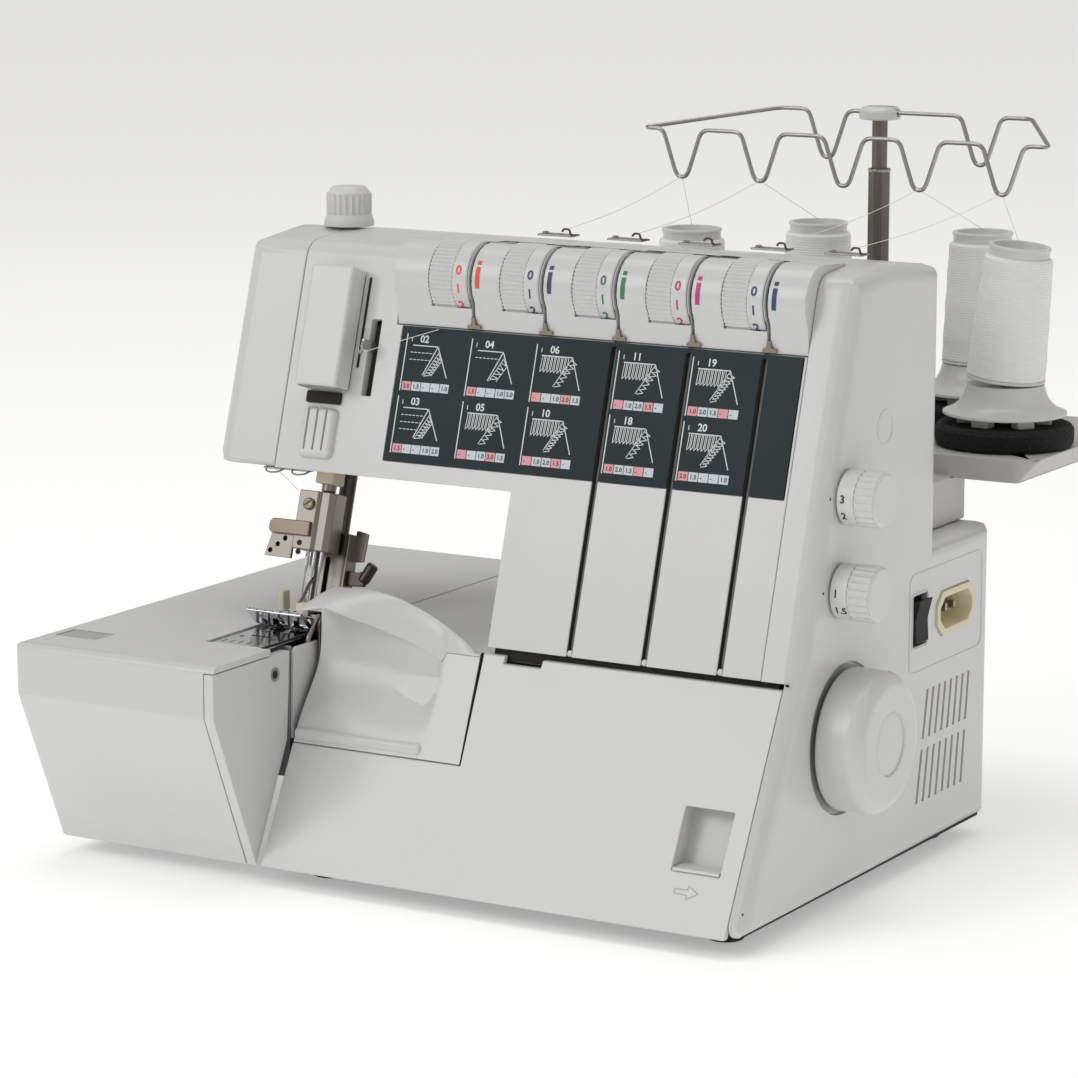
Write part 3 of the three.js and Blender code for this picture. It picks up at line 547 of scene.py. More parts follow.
class Effect(Enum):
    """Relief that a finish takes from its own node group."""

    GRAIN = "moulded_grain"
    BRUSHED = "brushed_lines"
    CAST = "cast_pits"
    FOAM = "foam_cells"
    WINDINGS = "thread_windings"


class EffectLibrary:
    """Node groups, each built once and shared by every material that uses it."""

    def __init__(self) -> None:
        """Start with no groups."""
        self._made: dict[str, bpy.types.NodeTree] = {}

    def _new(self, name: str, outputs: Sequence[str]) -> tuple[bpy.types.NodeTree, Callable, Callable]:
        """Start a group whose one input is its scale.

        Args:
            name: The group's name.
            outputs: Names of its float outputs.

        Returns:
            The tree, a function that adds a node and a function that links two sockets.
        """
        tree = bpy.data.node_groups.new(name, "ShaderNodeTree")
        tree.interface.new_socket("Scale", in_out="INPUT", socket_type="NodeSocketFloat")
        for output in outputs:
            tree.interface.new_socket(output, in_out="OUTPUT", socket_type="NodeSocketFloat")
        return tree, tree.nodes.new, tree.links.new

    def relief(self, effect: Effect) -> bpy.types.NodeTree:
        """Give the group for one kind of relief.

        Args:
            effect: The kind.

        Returns:
            Its node group, with outputs Height and Mask.
        """
        if effect.value in self._made:
            return self._made[effect.value]
        tree, add, link = self._new(effect.value, ("Height", "Mask"))
        inputs, outputs = add("NodeGroupInput"), add("NodeGroupOutput")
        place = add("ShaderNodeTexCoord")
        stretch = add("ShaderNodeMapping")
        link(place.outputs["Object"], stretch.inputs["Vector"])
        if effect is Effect.FOAM or effect is Effect.CAST:
            cells = add("ShaderNodeTexVoronoi")
            height = cells.outputs["Distance"]
        elif effect is Effect.WINDINGS:
            cells = add("ShaderNodeTexWave")
            cells.bands_direction = "Z"
            cells.inputs["Distortion"].default_value = 1.6
            cells.inputs["Detail"].default_value = 3.0
            cells.inputs["Detail Scale"].default_value = 0.7
            height = cells.outputs["Fac"]
        else:
            cells = add("ShaderNodeTexNoise")
            cells.inputs["Detail"].default_value = 4.0
            height = cells.outputs["Fac"]
        if effect is Effect.BRUSHED:
            stretch.inputs["Scale"].default_value = BRUSHED_STRETCH
        link(stretch.outputs["Vector"], cells.inputs["Vector"])
        link(inputs.outputs["Scale"], cells.inputs["Scale"])
        broad = add("ShaderNodeTexNoise")
        broad.inputs["Scale"].default_value = MOTTLE_SCALE
        broad.inputs["Detail"].default_value = 5.0
        link(place.outputs["Object"], broad.inputs["Vector"])
        link(height, outputs.inputs["Height"])
        link(broad.outputs["Fac"], outputs.inputs["Mask"])
        self._made[effect.value] = tree
        return tree

    def dust(self) -> bpy.types.NodeTree:
        """Give the group whose Mask is the dust that settles on faces that look up."""
        if "settled_dust" in self._made:
            return self._made["settled_dust"]
        tree, add, link = self._new("settled_dust", ("Mask",))
        inputs, outputs = add("NodeGroupInput"), add("NodeGroupOutput")
        shape, split = add("ShaderNodeNewGeometry"), add("ShaderNodeSeparateXYZ")
        specks, place = add("ShaderNodeTexNoise"), add("ShaderNodeTexCoord")
        facing, product = add("ShaderNodeMapRange"), add("ShaderNodeMath")
        product.operation = "MULTIPLY"
        facing.inputs["From Min"].default_value = 0.35
        specks.inputs["Detail"].default_value = 7.0
        link(place.outputs["Object"], specks.inputs["Vector"])
        link(inputs.outputs["Scale"], specks.inputs["Scale"])
        link(shape.outputs["Normal"], split.inputs["Vector"])
        link(split.outputs["Z"], facing.inputs["Value"])
        link(facing.outputs["Result"], product.inputs[0])
        link(specks.outputs["Fac"], product.inputs[1])
        link(product.outputs["Value"], outputs.inputs["Mask"])
        self._made["settled_dust"] = tree
        return tree

    def painted_edge_highlight(self) -> bpy.types.NodeTree:
        """Give the group whose Mask is high where a surface turns a corner within Scale metres, for a
        painted edge highlight.
        """
        if "painted_edge_highlight" in self._made:
            return self._made["painted_edge_highlight"]
        tree, add, link = self._new("painted_edge_highlight", ("Mask",))
        inputs, outputs = add("NodeGroupInput"), add("NodeGroupOutput")
        rounded, shape = add("ShaderNodeBevel"), add("ShaderNodeNewGeometry")
        likeness, amount = add("ShaderNodeVectorMath"), add("ShaderNodeMapRange")
        likeness.operation = "DOT_PRODUCT"
        rounded.samples = 4
        amount.inputs["From Min"].default_value = 1.0
        amount.inputs["From Max"].default_value = 0.86
        link(inputs.outputs["Scale"], rounded.inputs["Radius"])
        link(rounded.outputs["Normal"], likeness.inputs[0])
        link(shape.outputs["Normal"], likeness.inputs[1])
        link(likeness.outputs["Value"], amount.inputs["Value"])
        link(amount.outputs["Result"], outputs.inputs["Mask"])
        self._made["painted_edge_highlight"] = tree
        return tree


EFFECTS = EffectLibrary()


# ---------------------------------------------------------------- finishes


@dataclass(frozen=True)
class Finish:
    """One surface finish.

    Attributes:
        name: The material's name.
        slot: The record's material slot; not used.
        colour: Base colour, linear.
        roughness: Mean roughness.
        metallic: 1 for bare metal.
        effect: The relief's kind.
        scale: The relief's scale, per metre.
        relief: Height of the relief in metres.
        mottle: How far the colour darkens over broad patches.
        dust: How far dust lightens faces that look up.
        edge_highlight: How far edges lighten as a painted highlight.
        coat: Weight of the clear coat.
        spread: How far the roughness varies either way.
        sheen: Weight of the sheen on fibres.
        soft: Weight of light scattering inside.
        specular: Strength of the plain reflection.
        glow: Strength of the finish's own white light.
    """

    name: str
    slot: str
    colour: Colour
    roughness: float
    metallic: float = 0.0
    effect: Effect = Effect.GRAIN
    scale: float = 900.0
    relief: float = 0.00002
    mottle: float = 0.03
    dust: float = 0.04
    edge_highlight: float = 0.0
    coat: float = 0.0
    spread: float = 0.06
    sheen: float = 0.0
    soft: float = 0.0
    specular: float = 0.5
    glow: float = 0.0

    def material(self) -> bpy.types.Material:
        """Give this finish's material, made on first use."""
        found = bpy.data.materials.get(self.name)
        if found is not None:
            return found
        made = bpy.data.materials.new(self.name)
        made.use_nodes = True
        made.diffuse_color = (*self.colour, 1.0)
        tree = made.node_tree
        shader = tree.nodes["Principled BSDF"]
        shader.inputs["Metallic"].default_value = self.metallic
        shader.inputs["Coat Weight"].default_value = self.coat
        shader.inputs["Coat Roughness"].default_value = COAT_ROUGHNESS
        shader.inputs["Sheen Weight"].default_value = self.sheen
        shader.inputs["Specular IOR Level"].default_value = self.specular
        shader.inputs["Emission Color"].default_value = (1.0, 1.0, 1.0, 1.0)
        shader.inputs["Emission Strength"].default_value = self.glow
        if self.soft > 0:
            shader.inputs["Subsurface Weight"].default_value = self.soft
            shader.inputs["Subsurface Radius"].default_value = SCATTER_REACH
            shader.inputs["Subsurface Scale"].default_value = 1.0
        relief = self._group(tree, EFFECTS.relief(self.effect), self.scale)
        dust = self._group(tree, EFFECTS.dust(), DUST_SCALE)
        darker = tuple(part * (1 - 2 * self.mottle) for part in self.colour)
        paler = tuple(part + (PALE_LEVEL - part) * 0.5 for part in self.colour)
        tint = self._mix(tree, relief.outputs["Mask"], self.colour, darker, 1.0)
        dusted_and_highlit = self._mix(tree, dust.outputs["Mask"], tint, paler, self.dust)
        # Painted highlight: edges lighten towards the pale tone.
        if self.edge_highlight > 0:
            edge_highlight = self._group(tree, EFFECTS.painted_edge_highlight(), EDGE_HIGHLIGHT_REACH)
            dusted_and_highlit = self._mix(tree, edge_highlight.outputs["Mask"], dusted_and_highlit, paler, self.edge_highlight)
        tree.links.new(dusted_and_highlit, shader.inputs["Base Color"])
        gloss = tree.nodes.new("ShaderNodeMapRange")
        gloss.inputs["To Min"].default_value = max(self.roughness - self.spread, 0.02)
        gloss.inputs["To Max"].default_value = min(self.roughness + self.spread, 1.0)
        tree.links.new(relief.outputs["Mask"], gloss.inputs["Value"])
        tree.links.new(gloss.outputs["Result"], shader.inputs["Roughness"])
        bump = tree.nodes.new("ShaderNodeBump")
        bump.inputs["Distance"].default_value = self.relief
        tree.links.new(relief.outputs["Height"], bump.inputs["Height"])
        tree.links.new(bump.outputs["Normal"], shader.inputs["Normal"])
        return made

    @staticmethod
    def _group(tree: bpy.types.NodeTree, group: bpy.types.NodeTree, scale: float) -> bpy.types.Node:
        """Add a shared effect to a material.

        Args:
            tree: The material's nodes.
            group: The effect's node group.
            scale: Its scale.

        Returns:
            The group node.
        """
        node = tree.nodes.new("ShaderNodeGroup")
        node.node_tree = group
        node.inputs["Scale"].default_value = scale
        return node

    @staticmethod
    def _mix(
        tree: bpy.types.NodeTree, mask: bpy.types.NodeSocket, under: Colour | bpy.types.NodeSocket,
        over: Colour, share: float,
    ) -> bpy.types.NodeSocket:
        """Mix a colour over another by a mask.

        Args:
            tree: The material's nodes.
            mask: Where the upper colour shows.
            under: The colour below, or the socket that gives it.
            over: The colour above.
            share: The most that the upper colour covers.

        Returns:
            The socket with the result.
        """
        amount = tree.nodes.new("ShaderNodeMath")
        amount.operation = "MULTIPLY"
        amount.inputs[1].default_value = share
        tree.links.new(mask, amount.inputs[0])
        mix = tree.nodes.new("ShaderNodeMix")
        mix.data_type = "RGBA"
        tree.links.new(amount.outputs["Value"], mix.inputs["Factor"])
        if isinstance(under, tuple):
            mix.inputs["A"].default_value = (*under, 1.0)
        else:
            tree.links.new(under, mix.inputs["A"])
        mix.inputs["B"].default_value = (*over, 1.0)
        return mix.outputs["Result"]


WHITE = Finish(
    "glossy_white_shell", "white_shell", (0.655, 0.655, 0.65), 0.3, coat=0.2, edge_highlight=0.12, spread=0.03,
)
KNOB_WHITE = Finish("satin_white_knob", "white_shell", (0.69, 0.69, 0.68), 0.38, edge_highlight=0.15)
TRAY_GREY = Finish("warm_grey_tray", "grey_plastic", (0.50, 0.495, 0.48), 0.42, edge_highlight=0.2)
# Pale grey for the release button, presser lifter and channel linings; on the handwheel dish it is painted
# shade.
POD_GREY = Finish("pale_grey_plastic_and_dish_shade", "grey_plastic", (0.42, 0.42, 0.41), 0.45)
CHART = Finish(
    "slate_chart", "chart_plastic", (0.017, 0.029, 0.032), 0.34, mottle=0.12, dust=0.0, specular=0.16,
)
IVORY = Finish("ivory_plastic", "ivory_plastic", (0.74, 0.66, 0.46), 0.4, edge_highlight=0.1)
BLACK = Finish("black_plastic", "black_plastic", (0.012, 0.012, 0.013), 0.42, mottle=0.2, edge_highlight=0.1)
# Near-black for painted shade in holes, slots, gaps and recesses, and for dark seams and small marks.
DARK = Finish("painted_shade_and_seam_dark", "black_plastic", (0.02, 0.018, 0.016), 0.8, mottle=0.2, dust=0.0)
FOAM = Finish(
    "open_cell_foam", "foam", (0.010, 0.010, 0.012), 0.95, effect=Effect.FOAM, scale=620.0, relief=0.0009,
    mottle=0.3, dust=0.03,
)
STEEL = Finish(
    "brushed_steel", "steel", (0.36, 0.335, 0.30), 0.3, 1.0, Effect.BRUSHED, 2600.0, 0.000012, 0.12, 0.02,
    0.3,
)
DARK_STEEL = Finish(
    "oiled_steel", "steel", (0.13, 0.115, 0.10), 0.38, 1.0, Effect.BRUSHED, 2400.0, 0.000015, 0.15, 0.02,
    0.35,
)
SATIN = Finish(
    "satin_steel", "chrome", (0.40, 0.395, 0.38), 0.3, 1.0, Effect.BRUSHED, 2400.0, 0.00001, 0.08, 0.02, 0.2,
)
CHROME = Finish(
    "polished_chrome", "chrome", (0.72, 0.73, 0.75), 0.11, 1.0, Effect.BRUSHED, 3000.0, 0.000004, 0.05, 0.02,
    0.2,
)
CASTING = Finish(
    "cast_alloy", "casting", (0.36, 0.37, 0.38), 0.55, 0.9, Effect.CAST, 700.0, 0.00012, 0.1, 0.05, 0.2,
)
BRONZE = Finish(
    "bronze_grey_tube", "mast_steel", (0.20, 0.18, 0.158), 0.34, 1.0, Effect.BRUSHED, 2200.0, 0.00001, 0.1,
    0.03,
    0.3,
)
RUBBER = Finish("rubber", "rubber", (0.016, 0.016, 0.016), 0.82, relief=0.00006, mottle=0.2)
THREAD = Finish(
    "wound_thread", "thread", (0.86, 0.86, 0.855), 0.85, effect=Effect.WINDINGS, scale=240.0, relief=0.00012,
    mottle=0.02, dust=0.0, sheen=0.4, soft=0.1,
)
BRASS = Finish(
    "brown_steel", "steel", (0.30, 0.255, 0.20), 0.36, 1.0, Effect.BRUSHED, 2000.0, 0.00001, 0.1, 0.02, 0.2,
)
PRINT_WHITE = Finish("white_print", "chart_plastic", (0.74, 0.77, 0.78), 0.5, dust=0.0)
PRINT_BLUE = Finish("pale_blue_print", "chart_plastic", (0.62, 0.68, 0.73), 0.5, dust=0.0)
PRINT_PINK = Finish("pink_print", "chart_plastic", (0.78, 0.36, 0.38), 0.5, dust=0.0)
PRINT_BLACK = Finish("black_print", "black_plastic", (0.02, 0.02, 0.025), 0.5, dust=0.0)
EMBOSS = Finish("embossed_line", "white_shell", (0.42, 0.42, 0.42), 0.35)

DIAL_INKS = (
    Finish("orange_red_print", "white_shell", (0.80, 0.10, 0.03), 0.45, dust=0.0),
    Finish("purple_navy_print", "white_shell", (0.06, 0.05, 0.12), 0.45, dust=0.0),
    Finish("green_print", "white_shell", (0.03, 0.22, 0.08), 0.45, dust=0.0),
    Finish("magenta_print", "white_shell", (0.55, 0.04, 0.22), 0.45, dust=0.0),
    Finish("navy_print", "white_shell", (0.03, 0.05, 0.16), 0.45, dust=0.0),
)


# ---------------------------------------------------------------- dressing pieces


def smooth_shaded(obj: bpy.types.Object) -> None:
    """Shade every face of a mesh smooth."""
    obj.data.polygons.foreach_set("use_smooth", [True] * len(obj.data.polygons))


def soften_edges(obj: bpy.types.Object, width: float, merge: bool = False) -> None:
    """Round an object's sharp edges with modifiers.

    Args:
        obj: The object, in metres.
        width: Width of the rounding in millimetres; 0 keeps the edges sharp.
        merge: True first joins split vertices and flattens coplanar faces.
    """
    smooth_shaded(obj)
    if merge:
        weld = obj.modifiers.new("weld", "WELD")
        weld.merge_threshold = 1e-5
    if merge and width > 0:
        flat = obj.modifiers.new("flat", "DECIMATE")
        flat.decimate_type = "DISSOLVE"
        flat.angle_limit = math.radians(0.8)
    if width > 0:
        edge = obj.modifiers.new("edge", "BEVEL")
        edge.limit_method = "ANGLE"
        edge.angle_limit = SMOOTH_LIMIT
        edge.width = width * MM
        edge.segments = 3
        edge.use_clamp_overlap = False
        edge.miter_outer = "MITER_ARC"
    else:
        split = obj.modifiers.new("split", "EDGE_SPLIT")
        split.split_angle = SMOOTH_LIMIT
    weighted = obj.modifiers.new("weighted", "WEIGHTED_NORMAL")
    weighted.keep_sharp = False
    weighted.weight = 50


def dress(
    obj: bpy.types.Object, finish: Finish, body: Body = Body.ROOT, edge: float = 0.25,
    matrix: Matrix | None = None, stands_for: Sequence[str] = (),
) -> bpy.types.Object:
    """Turn a shape into a finished piece that rides on a body.

    Args:
        obj: The shape, in local millimetres or in the matrix's own frame.
        finish: Its surface.
        body: The body it moves with.
        edge: Width of its rounded edges in millimetres.
        matrix: Turns its coordinates into local millimetres.
        stands_for: CAD nodes it hides.

    Returns:
        The same object.
    """
    obj.data.transform(DATUM.matrix() @ (matrix or Matrix.Identity(4)))
    soften_edges(obj, edge)
    obj.data.materials.clear()
    obj.data.materials.append(finish.material())
    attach(obj, body.value)
    if stands_for:
        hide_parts(*stands_for)
    log.info("piece %s: %d faces, %s", obj.name, len(obj.data.polygons), finish.name)
    return obj


def carry_over(node: str, finish: Finish, edge: float = 0.4) -> None:
    """Finish a CAD node that is shown as it is.

    Args:
        node: The node's name.
        finish: Its surface.
        edge: Width of its rounded edges in millimetres; 0 keeps them sharp.
    """
    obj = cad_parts[node]
    soften_edges(obj, edge, merge=True)
    obj.data.materials.clear()
    obj.data.materials.append(finish.material())
    log.info("CAD node %s: %s", node, finish.name)


# ---------------------------------------------------------------- covers and casting


@dataclass(frozen=True)
class Shells:
    """The moulded covers and the mechanism inside them, carried over from the CAD.

    Attributes:
        covers: White covers and the width of their softened edges.
        fitted: Nodes with a finish of their own and the width of their softened edges.
    """

    covers: tuple[tuple[str, float], ...] = (
        ("upper_housing", 0.5), ("face_cover", 0.6), ("belt_cover", 0.0), ("lower_housing", 0.8),
        ("front_cover", 0.5), ("table_extension", 0.3), ("table_end_cap", 0.4),
        ("tension_housing", 0.35), ("take_up_cover", 1.6),
    )
    fitted: tuple[tuple[str, Finish, float], ...] = (
        ("table_release_button", POD_GREY, 0.5), ("base_pan", BLACK, 0.5), ("main_frame", CASTING, 0.8),
        ("free_arm", CASTING, 0.5), ("needle_plate", CHROME, 0.15), ("take_up_lever", SATIN, 0.2),
        ("presser_lifter", POD_GREY, 0.6), ("lower_looper", CHROME, 0.4), ("upper_looper", CHROME, 0.4),
        ("upper_knife", STEEL, 0.15), ("feed_dog", STEEL, 0.15), ("main_shaft", STEEL, 0.4),
        ("drive_pulley", CASTING, 0.5), ("motor", CASTING, 1.5), ("motor_pulley", CASTING, 0.5),
        ("drive_belt", RUBBER, 0.2), ("stitch_chart", CHART, 0.15), ("power_switch", BLACK, 0.4),
        ("power_inlet", IVORY, 0.35), ("spool_stand", TRAY_GREY, 0.9), ("mast_cap", WHITE, 0.9),
        ("rubber_foot_1", RUBBER, 0.4), ("rubber_foot_2", RUBBER, 0.4), ("rubber_foot_3", RUBBER, 0.4),
        ("rubber_foot_4", RUBBER, 0.4),
    )

    def build(self) -> None:
        """Finish every node that is shown as the CAD made it."""
        for node, edge in self.covers:
            carry_over(node, WHITE, edge)
        for node, finish, edge in self.fitted:
            carry_over(node, finish, edge)


# ---------------------------------------------------------------- tension dials


@dataclass(frozen=True)
class TensionDials:
    """Five dials in the pod, with their slots, tabs and index marks."""

    axis: Point2 = (113.0, 277.0)
    radius: float = 18.3
    pod_radius: float = 17.5
    width: float = 20.6
    grip: float = 12.4
    ribs: int = 56
    rib_depth: float = 0.85
    print_lift: float = 0.2
    digit_pitch: float = math.radians(28)
    zero_at: float = math.radians(161)
    mark_at: float = math.radians(168)
    mark_low: float = -6.0
    mark_height: float = 10.2
    mark_rows: int = 8

    def _around(self, radius: float, base: float) -> Mapping:
        """Give the mapping that wraps u, v round the dial axis.

        Args:
            radius: Distance from the axis.
            base: Angle of v = 0, in radians.

        Returns:
            The mapping from u (local x) and v (up the front).
        """
        def wrap(u: float, v: float) -> Point3:
            """Wrap one point round the axis."""
            turn = base - v / radius
            return (u, self.axis[0] + radius * math.cos(turn), self.axis[1] + radius * math.sin(turn))
        return wrap

    def wheel(self, index: int, slot: float) -> None:
        """Make one dial: a ribbed grip and a smooth band.

        Args:
            index: Which dial, from 0.
            slot: Local x of its thread slot.
        """
        left = slot - self.width - 0.5
        seam = left + self.grip
        grip = prism(
            f"dial_grip_{index + 1}", ribbed_disc(self.axis, self.radius, self.rib_depth, self.ribs), left,
            seam, Axis.X,
        )
        dress(grip, KNOB_WHITE, DIAL_BODIES[index], 0.0, stands_for=[f"tension_dial_{index + 1}"])
        rim = self.radius - 0.35
        profile = [
            (2.9, seam + 0.05), (rim - 0.5, seam + 0.05), (rim, seam + 0.5), (rim, slot - 1.1),
            (rim - 0.5, slot - 0.6),
            (2.9, slot - 0.6), (2.9, seam + 0.05),
        ]
        band = turned(f"dial_band_{index + 1}", profile, self.axis, Axis.X)
        dress(band, WHITE, DIAL_BODIES[index], 0.0)
        mapping = self._around(rim + self.print_lift, self.zero_at)
        figures = Print()
        for digit in range(10):
            rise = (self.radius * self.digit_pitch) * -digit
            figures.words(str(digit), (seam + 2.1, rise - 2.2), 4.5)
        dress(figures.lay(f"dial_figures_{index + 1}", mapping), DIAL_INKS[index], DIAL_BODIES[index], 0.0)

    def marks(self, index: int, slot: float) -> None:
        """Make the index mark, tension discs and thread tab beside one dial.

        Args:
            index: Which dial, from 0.
            slot: Local x of its thread slot.
        """
        mark = Print()
        for row in range(self.mark_rows):
            low = self.mark_low + row * self.mark_height / self.mark_rows
            mark.box(slot + 4.1, slot + 6.3, low, low + self.mark_height / self.mark_rows)
        mark.box(slot + 4.2, slot + 6.2, 5.4, 7.4)
        mapping = self._around(self.pod_radius + 0.12, self.mark_at)
        dress(mark.lay(f"dial_mark_{index + 1}", mapping), DIAL_INKS[index], edge=0.0)
        discs = [
            turned(
                f"disc_{side}", [(3.2, at), (15.2, at), (15.2, at + 0.5), (3.2, at + 0.5), (3.2, at)],
                self.axis, Axis.X,
            )
            for side, at in enumerate((slot + 0.35, slot + 1.35))
        ]
        dress(gathered(f"tension_discs_{index + 1}", discs), DARK_STEEL, edge=0.0)
        tab = prism(f"thread_tab_{index + 1}", [
            (slot - 1.6, 254.9, 0.4), (slot + 5.6, 254.9, 0.4), (slot + 5.6, 256.9, 0.6),
            (slot + 3.0, 256.9, 0.3),
            (slot + 2.4, 260.4, 0.4), (slot + 0.6, 260.4, 0.4), (slot + 0.2, 256.7, 0.3),
            (slot - 1.6, 256.7, 0.5),
        ], 97.7, 98.9, Axis.Y, 0.3, 0.3)
        dress(tab, BRASS, edge=0.0)

    def build(self) -> None:
        """Make all five dials."""
        for index, slot in enumerate(LINES.thread_slots):
            self.wheel(index, slot)
            self.marks(index, slot)


# ---------------------------------------------------------------- printed stitch chart


class Diagram(Enum):
    """The stitch drawings on the chart."""

    SEAMS_WIDE = 0
    SEAM_NARROW = 1
    SEAMS_LACED = 2
    LOOPS = 3
    LOOPS_LACED = 4


@dataclass(frozen=True)
class StitchChart:
    """White, blue and pink printing on the slate chart, drawn in (x, rise) on the slope."""

    surface: float = -0.07
    cell_width: float = 27.6
    fine: float = 0.36
    bold: float = 0.48
    cell_height: float = 26.6
    columns: tuple[float, ...] = (-231.5, -195.6, -160.2, -116.4, -77.6)
    rows: tuple[float, ...] = (117.2, 87.2)
    figures: tuple[tuple[str, ...], ...] = (("02", "04", "06", "11", "19"), ("03", "05", "10", "18", "20"))
    drawings: tuple[tuple[Diagram, ...], ...] = (
        (Diagram.SEAMS_WIDE, Diagram.SEAM_NARROW, Diagram.LOOPS, Diagram.LOOPS, Diagram.LOOPS_LACED),
        (Diagram.SEAMS_LACED, Diagram.LOOPS, Diagram.LOOPS_LACED, Diagram.LOOPS, Diagram.LOOPS_LACED),
    )
    swatches: int = 5
    pink: tuple[tuple[tuple[int, ...], ...], ...] = (
        ((0,), (0,), (0, 3), (0, 3), (0, 3)), ((0,), (0, 3), (0, 3), (0, 3), (0,)),
    )

    def _seams(self, ink: Print, left: float, low: float, lines: int, laced: bool) -> None:
        """Draw rows of dashes that end at a folded corner.

        Args:
            ink: What it is drawn in.
            left: Left edge of the cell.
            low: Lower edge of the cell.
            lines: How many rows of dashes.
            laced: True fills the fold with crossed threads.
        """
        top = low + 22
        ink.stroke([(left + 4, top), (left + 18, top), (left + 25, low + 7.4)], self.bold)
        ink.stroke([(left + 18, top), (left + 11.5, low + 8)], self.bold)
        for row in range(lines):
            height = top - 3.4 * (row + 1)
            reach = left + 16.4 - row * 1.9
            start = left + 3.2
            while start < reach:
                ink.line((start, height), (min(start + 1.5, reach), height), self.fine)
                start += 2.1
        rungs = 7 if laced else 4
        for rung in range(rungs):
            share = rung / rungs
            first = (left + 18.6 - share * 6.4, low + 19 - share * 11)
            second = (left + 20.6 - share * 4.2, low + 15.6 - share * 8.4)
            ink.stroke([first, second, (first[0] - 0.9, first[1] - 1.9)], self.fine)
        ink.stroke([(left + 19, low + 19.4), (left + 12.4, low + 8)], self.fine)
        ink.stroke([(left + 21.4, low + 16), (left + 16.4, low + 8)], self.fine)

    def _loops(self, ink: Print, left: float, low: float, laced: bool) -> None:
        """Draw a comb of upright loops that ends at a folded corner.

        Args:
            ink: What it is drawn in.
            left: Left edge of the cell.
            low: Lower edge of the cell.
            laced: True fills the fold with crossed threads.
        """
        loops = 8
        for loop in range(loops):
            at = left + 4 + loop * 1.85
            ink.stroke(
                [(at - 0.5, low + 15), (at, low + 22), (at + 1.1, low + 22), (at + 0.7, low + 15.4)],
                self.fine,
            )
            ink.line((at - 0.6, low + 14.4), (at + 0.7, low + 15.6), self.fine)
        ink.stroke([(left + 3.4, low + 22.2), (left + 20, low + 22.2), (left + 26, low + 7)], self.bold)
        zigs = 9 if laced else 6
        for zig in range(zigs):
            share = zig / zigs
            spine = (left + 19.6 - share * 7.6, low + 20.8 - share * 12.6)
            ink.stroke(
                [spine, (spine[0] + 3.2 - share, spine[1] - 1.7), (spine[0] - 0.9, spine[1] - 2.4)],
                self.fine,
            )
        ink.line((left + 19.8, low + 21.6), (left + 11.6, low + 8), self.fine)

    def _cell(self, inks: dict[Finish, Print], column: int, row: int) -> None:
        """Print one programme of the chart.

        Args:
            inks: The printing of each colour.
            column: Its column.
            row: Its row.
        """
        left, low = self.columns[column], self.rows[row]
        white = inks[PRINT_WHITE]
        white.box(left, left + 0.55, low, low + self.cell_height + 0.8)
        white.words(self.figures[row][column], (left + 7.6, low + 23.6), 3.5)
        white.words("1", (left + 2.4, low + 23.7), 2.0)
        drawing = self.drawings[row][column]
        if drawing in (Diagram.LOOPS, Diagram.LOOPS_LACED):
            self._loops(white, left, low, drawing is Diagram.LOOPS_LACED)
        else:
            lines = {Diagram.SEAMS_WIDE: 2, Diagram.SEAM_NARROW: 1, Diagram.SEAMS_LACED: 3}[drawing]
            self._seams(white, left, low, lines, drawing is not Diagram.SEAM_NARROW)
        pitch = (self.cell_width - 1.4) / self.swatches
        for swatch in range(self.swatches):
            start = left + 1.2 + swatch * pitch
            is_pink = swatch in self.pink[row][column]
            inks[PRINT_PINK if is_pink else PRINT_BLUE].box(
                start, start + pitch - 0.35, low + 0.3, low + 4.5,
            )
            label = ("2.0", "1.5", "-", "-", "1.0")[(swatch + column + row) % self.swatches]
            inks[PRINT_BLACK].words(label, (start + 0.7, low + 1.4), 2.1)

    def build(self) -> None:
        """Print every programme and lay each colour on the chart."""
        inks = {finish: Print() for finish in (PRINT_WHITE, PRINT_BLUE, PRINT_PINK, PRINT_BLACK)}
        for row in range(len(self.rows)):
            for column in range(len(self.columns)):
                self._cell(inks, column, row)
        for layer, (finish, ink) in enumerate(inks.items()):
            depth = self.surface - 0.03 * layer
            laid = ink.lay(f"chart_{finish.name}", lambda u, v, depth=depth: (u, depth, v))
            dress(laid, finish, edge=0.0, matrix=LINES.slope())


# ---------------------------------------------------------------- right-hand controls


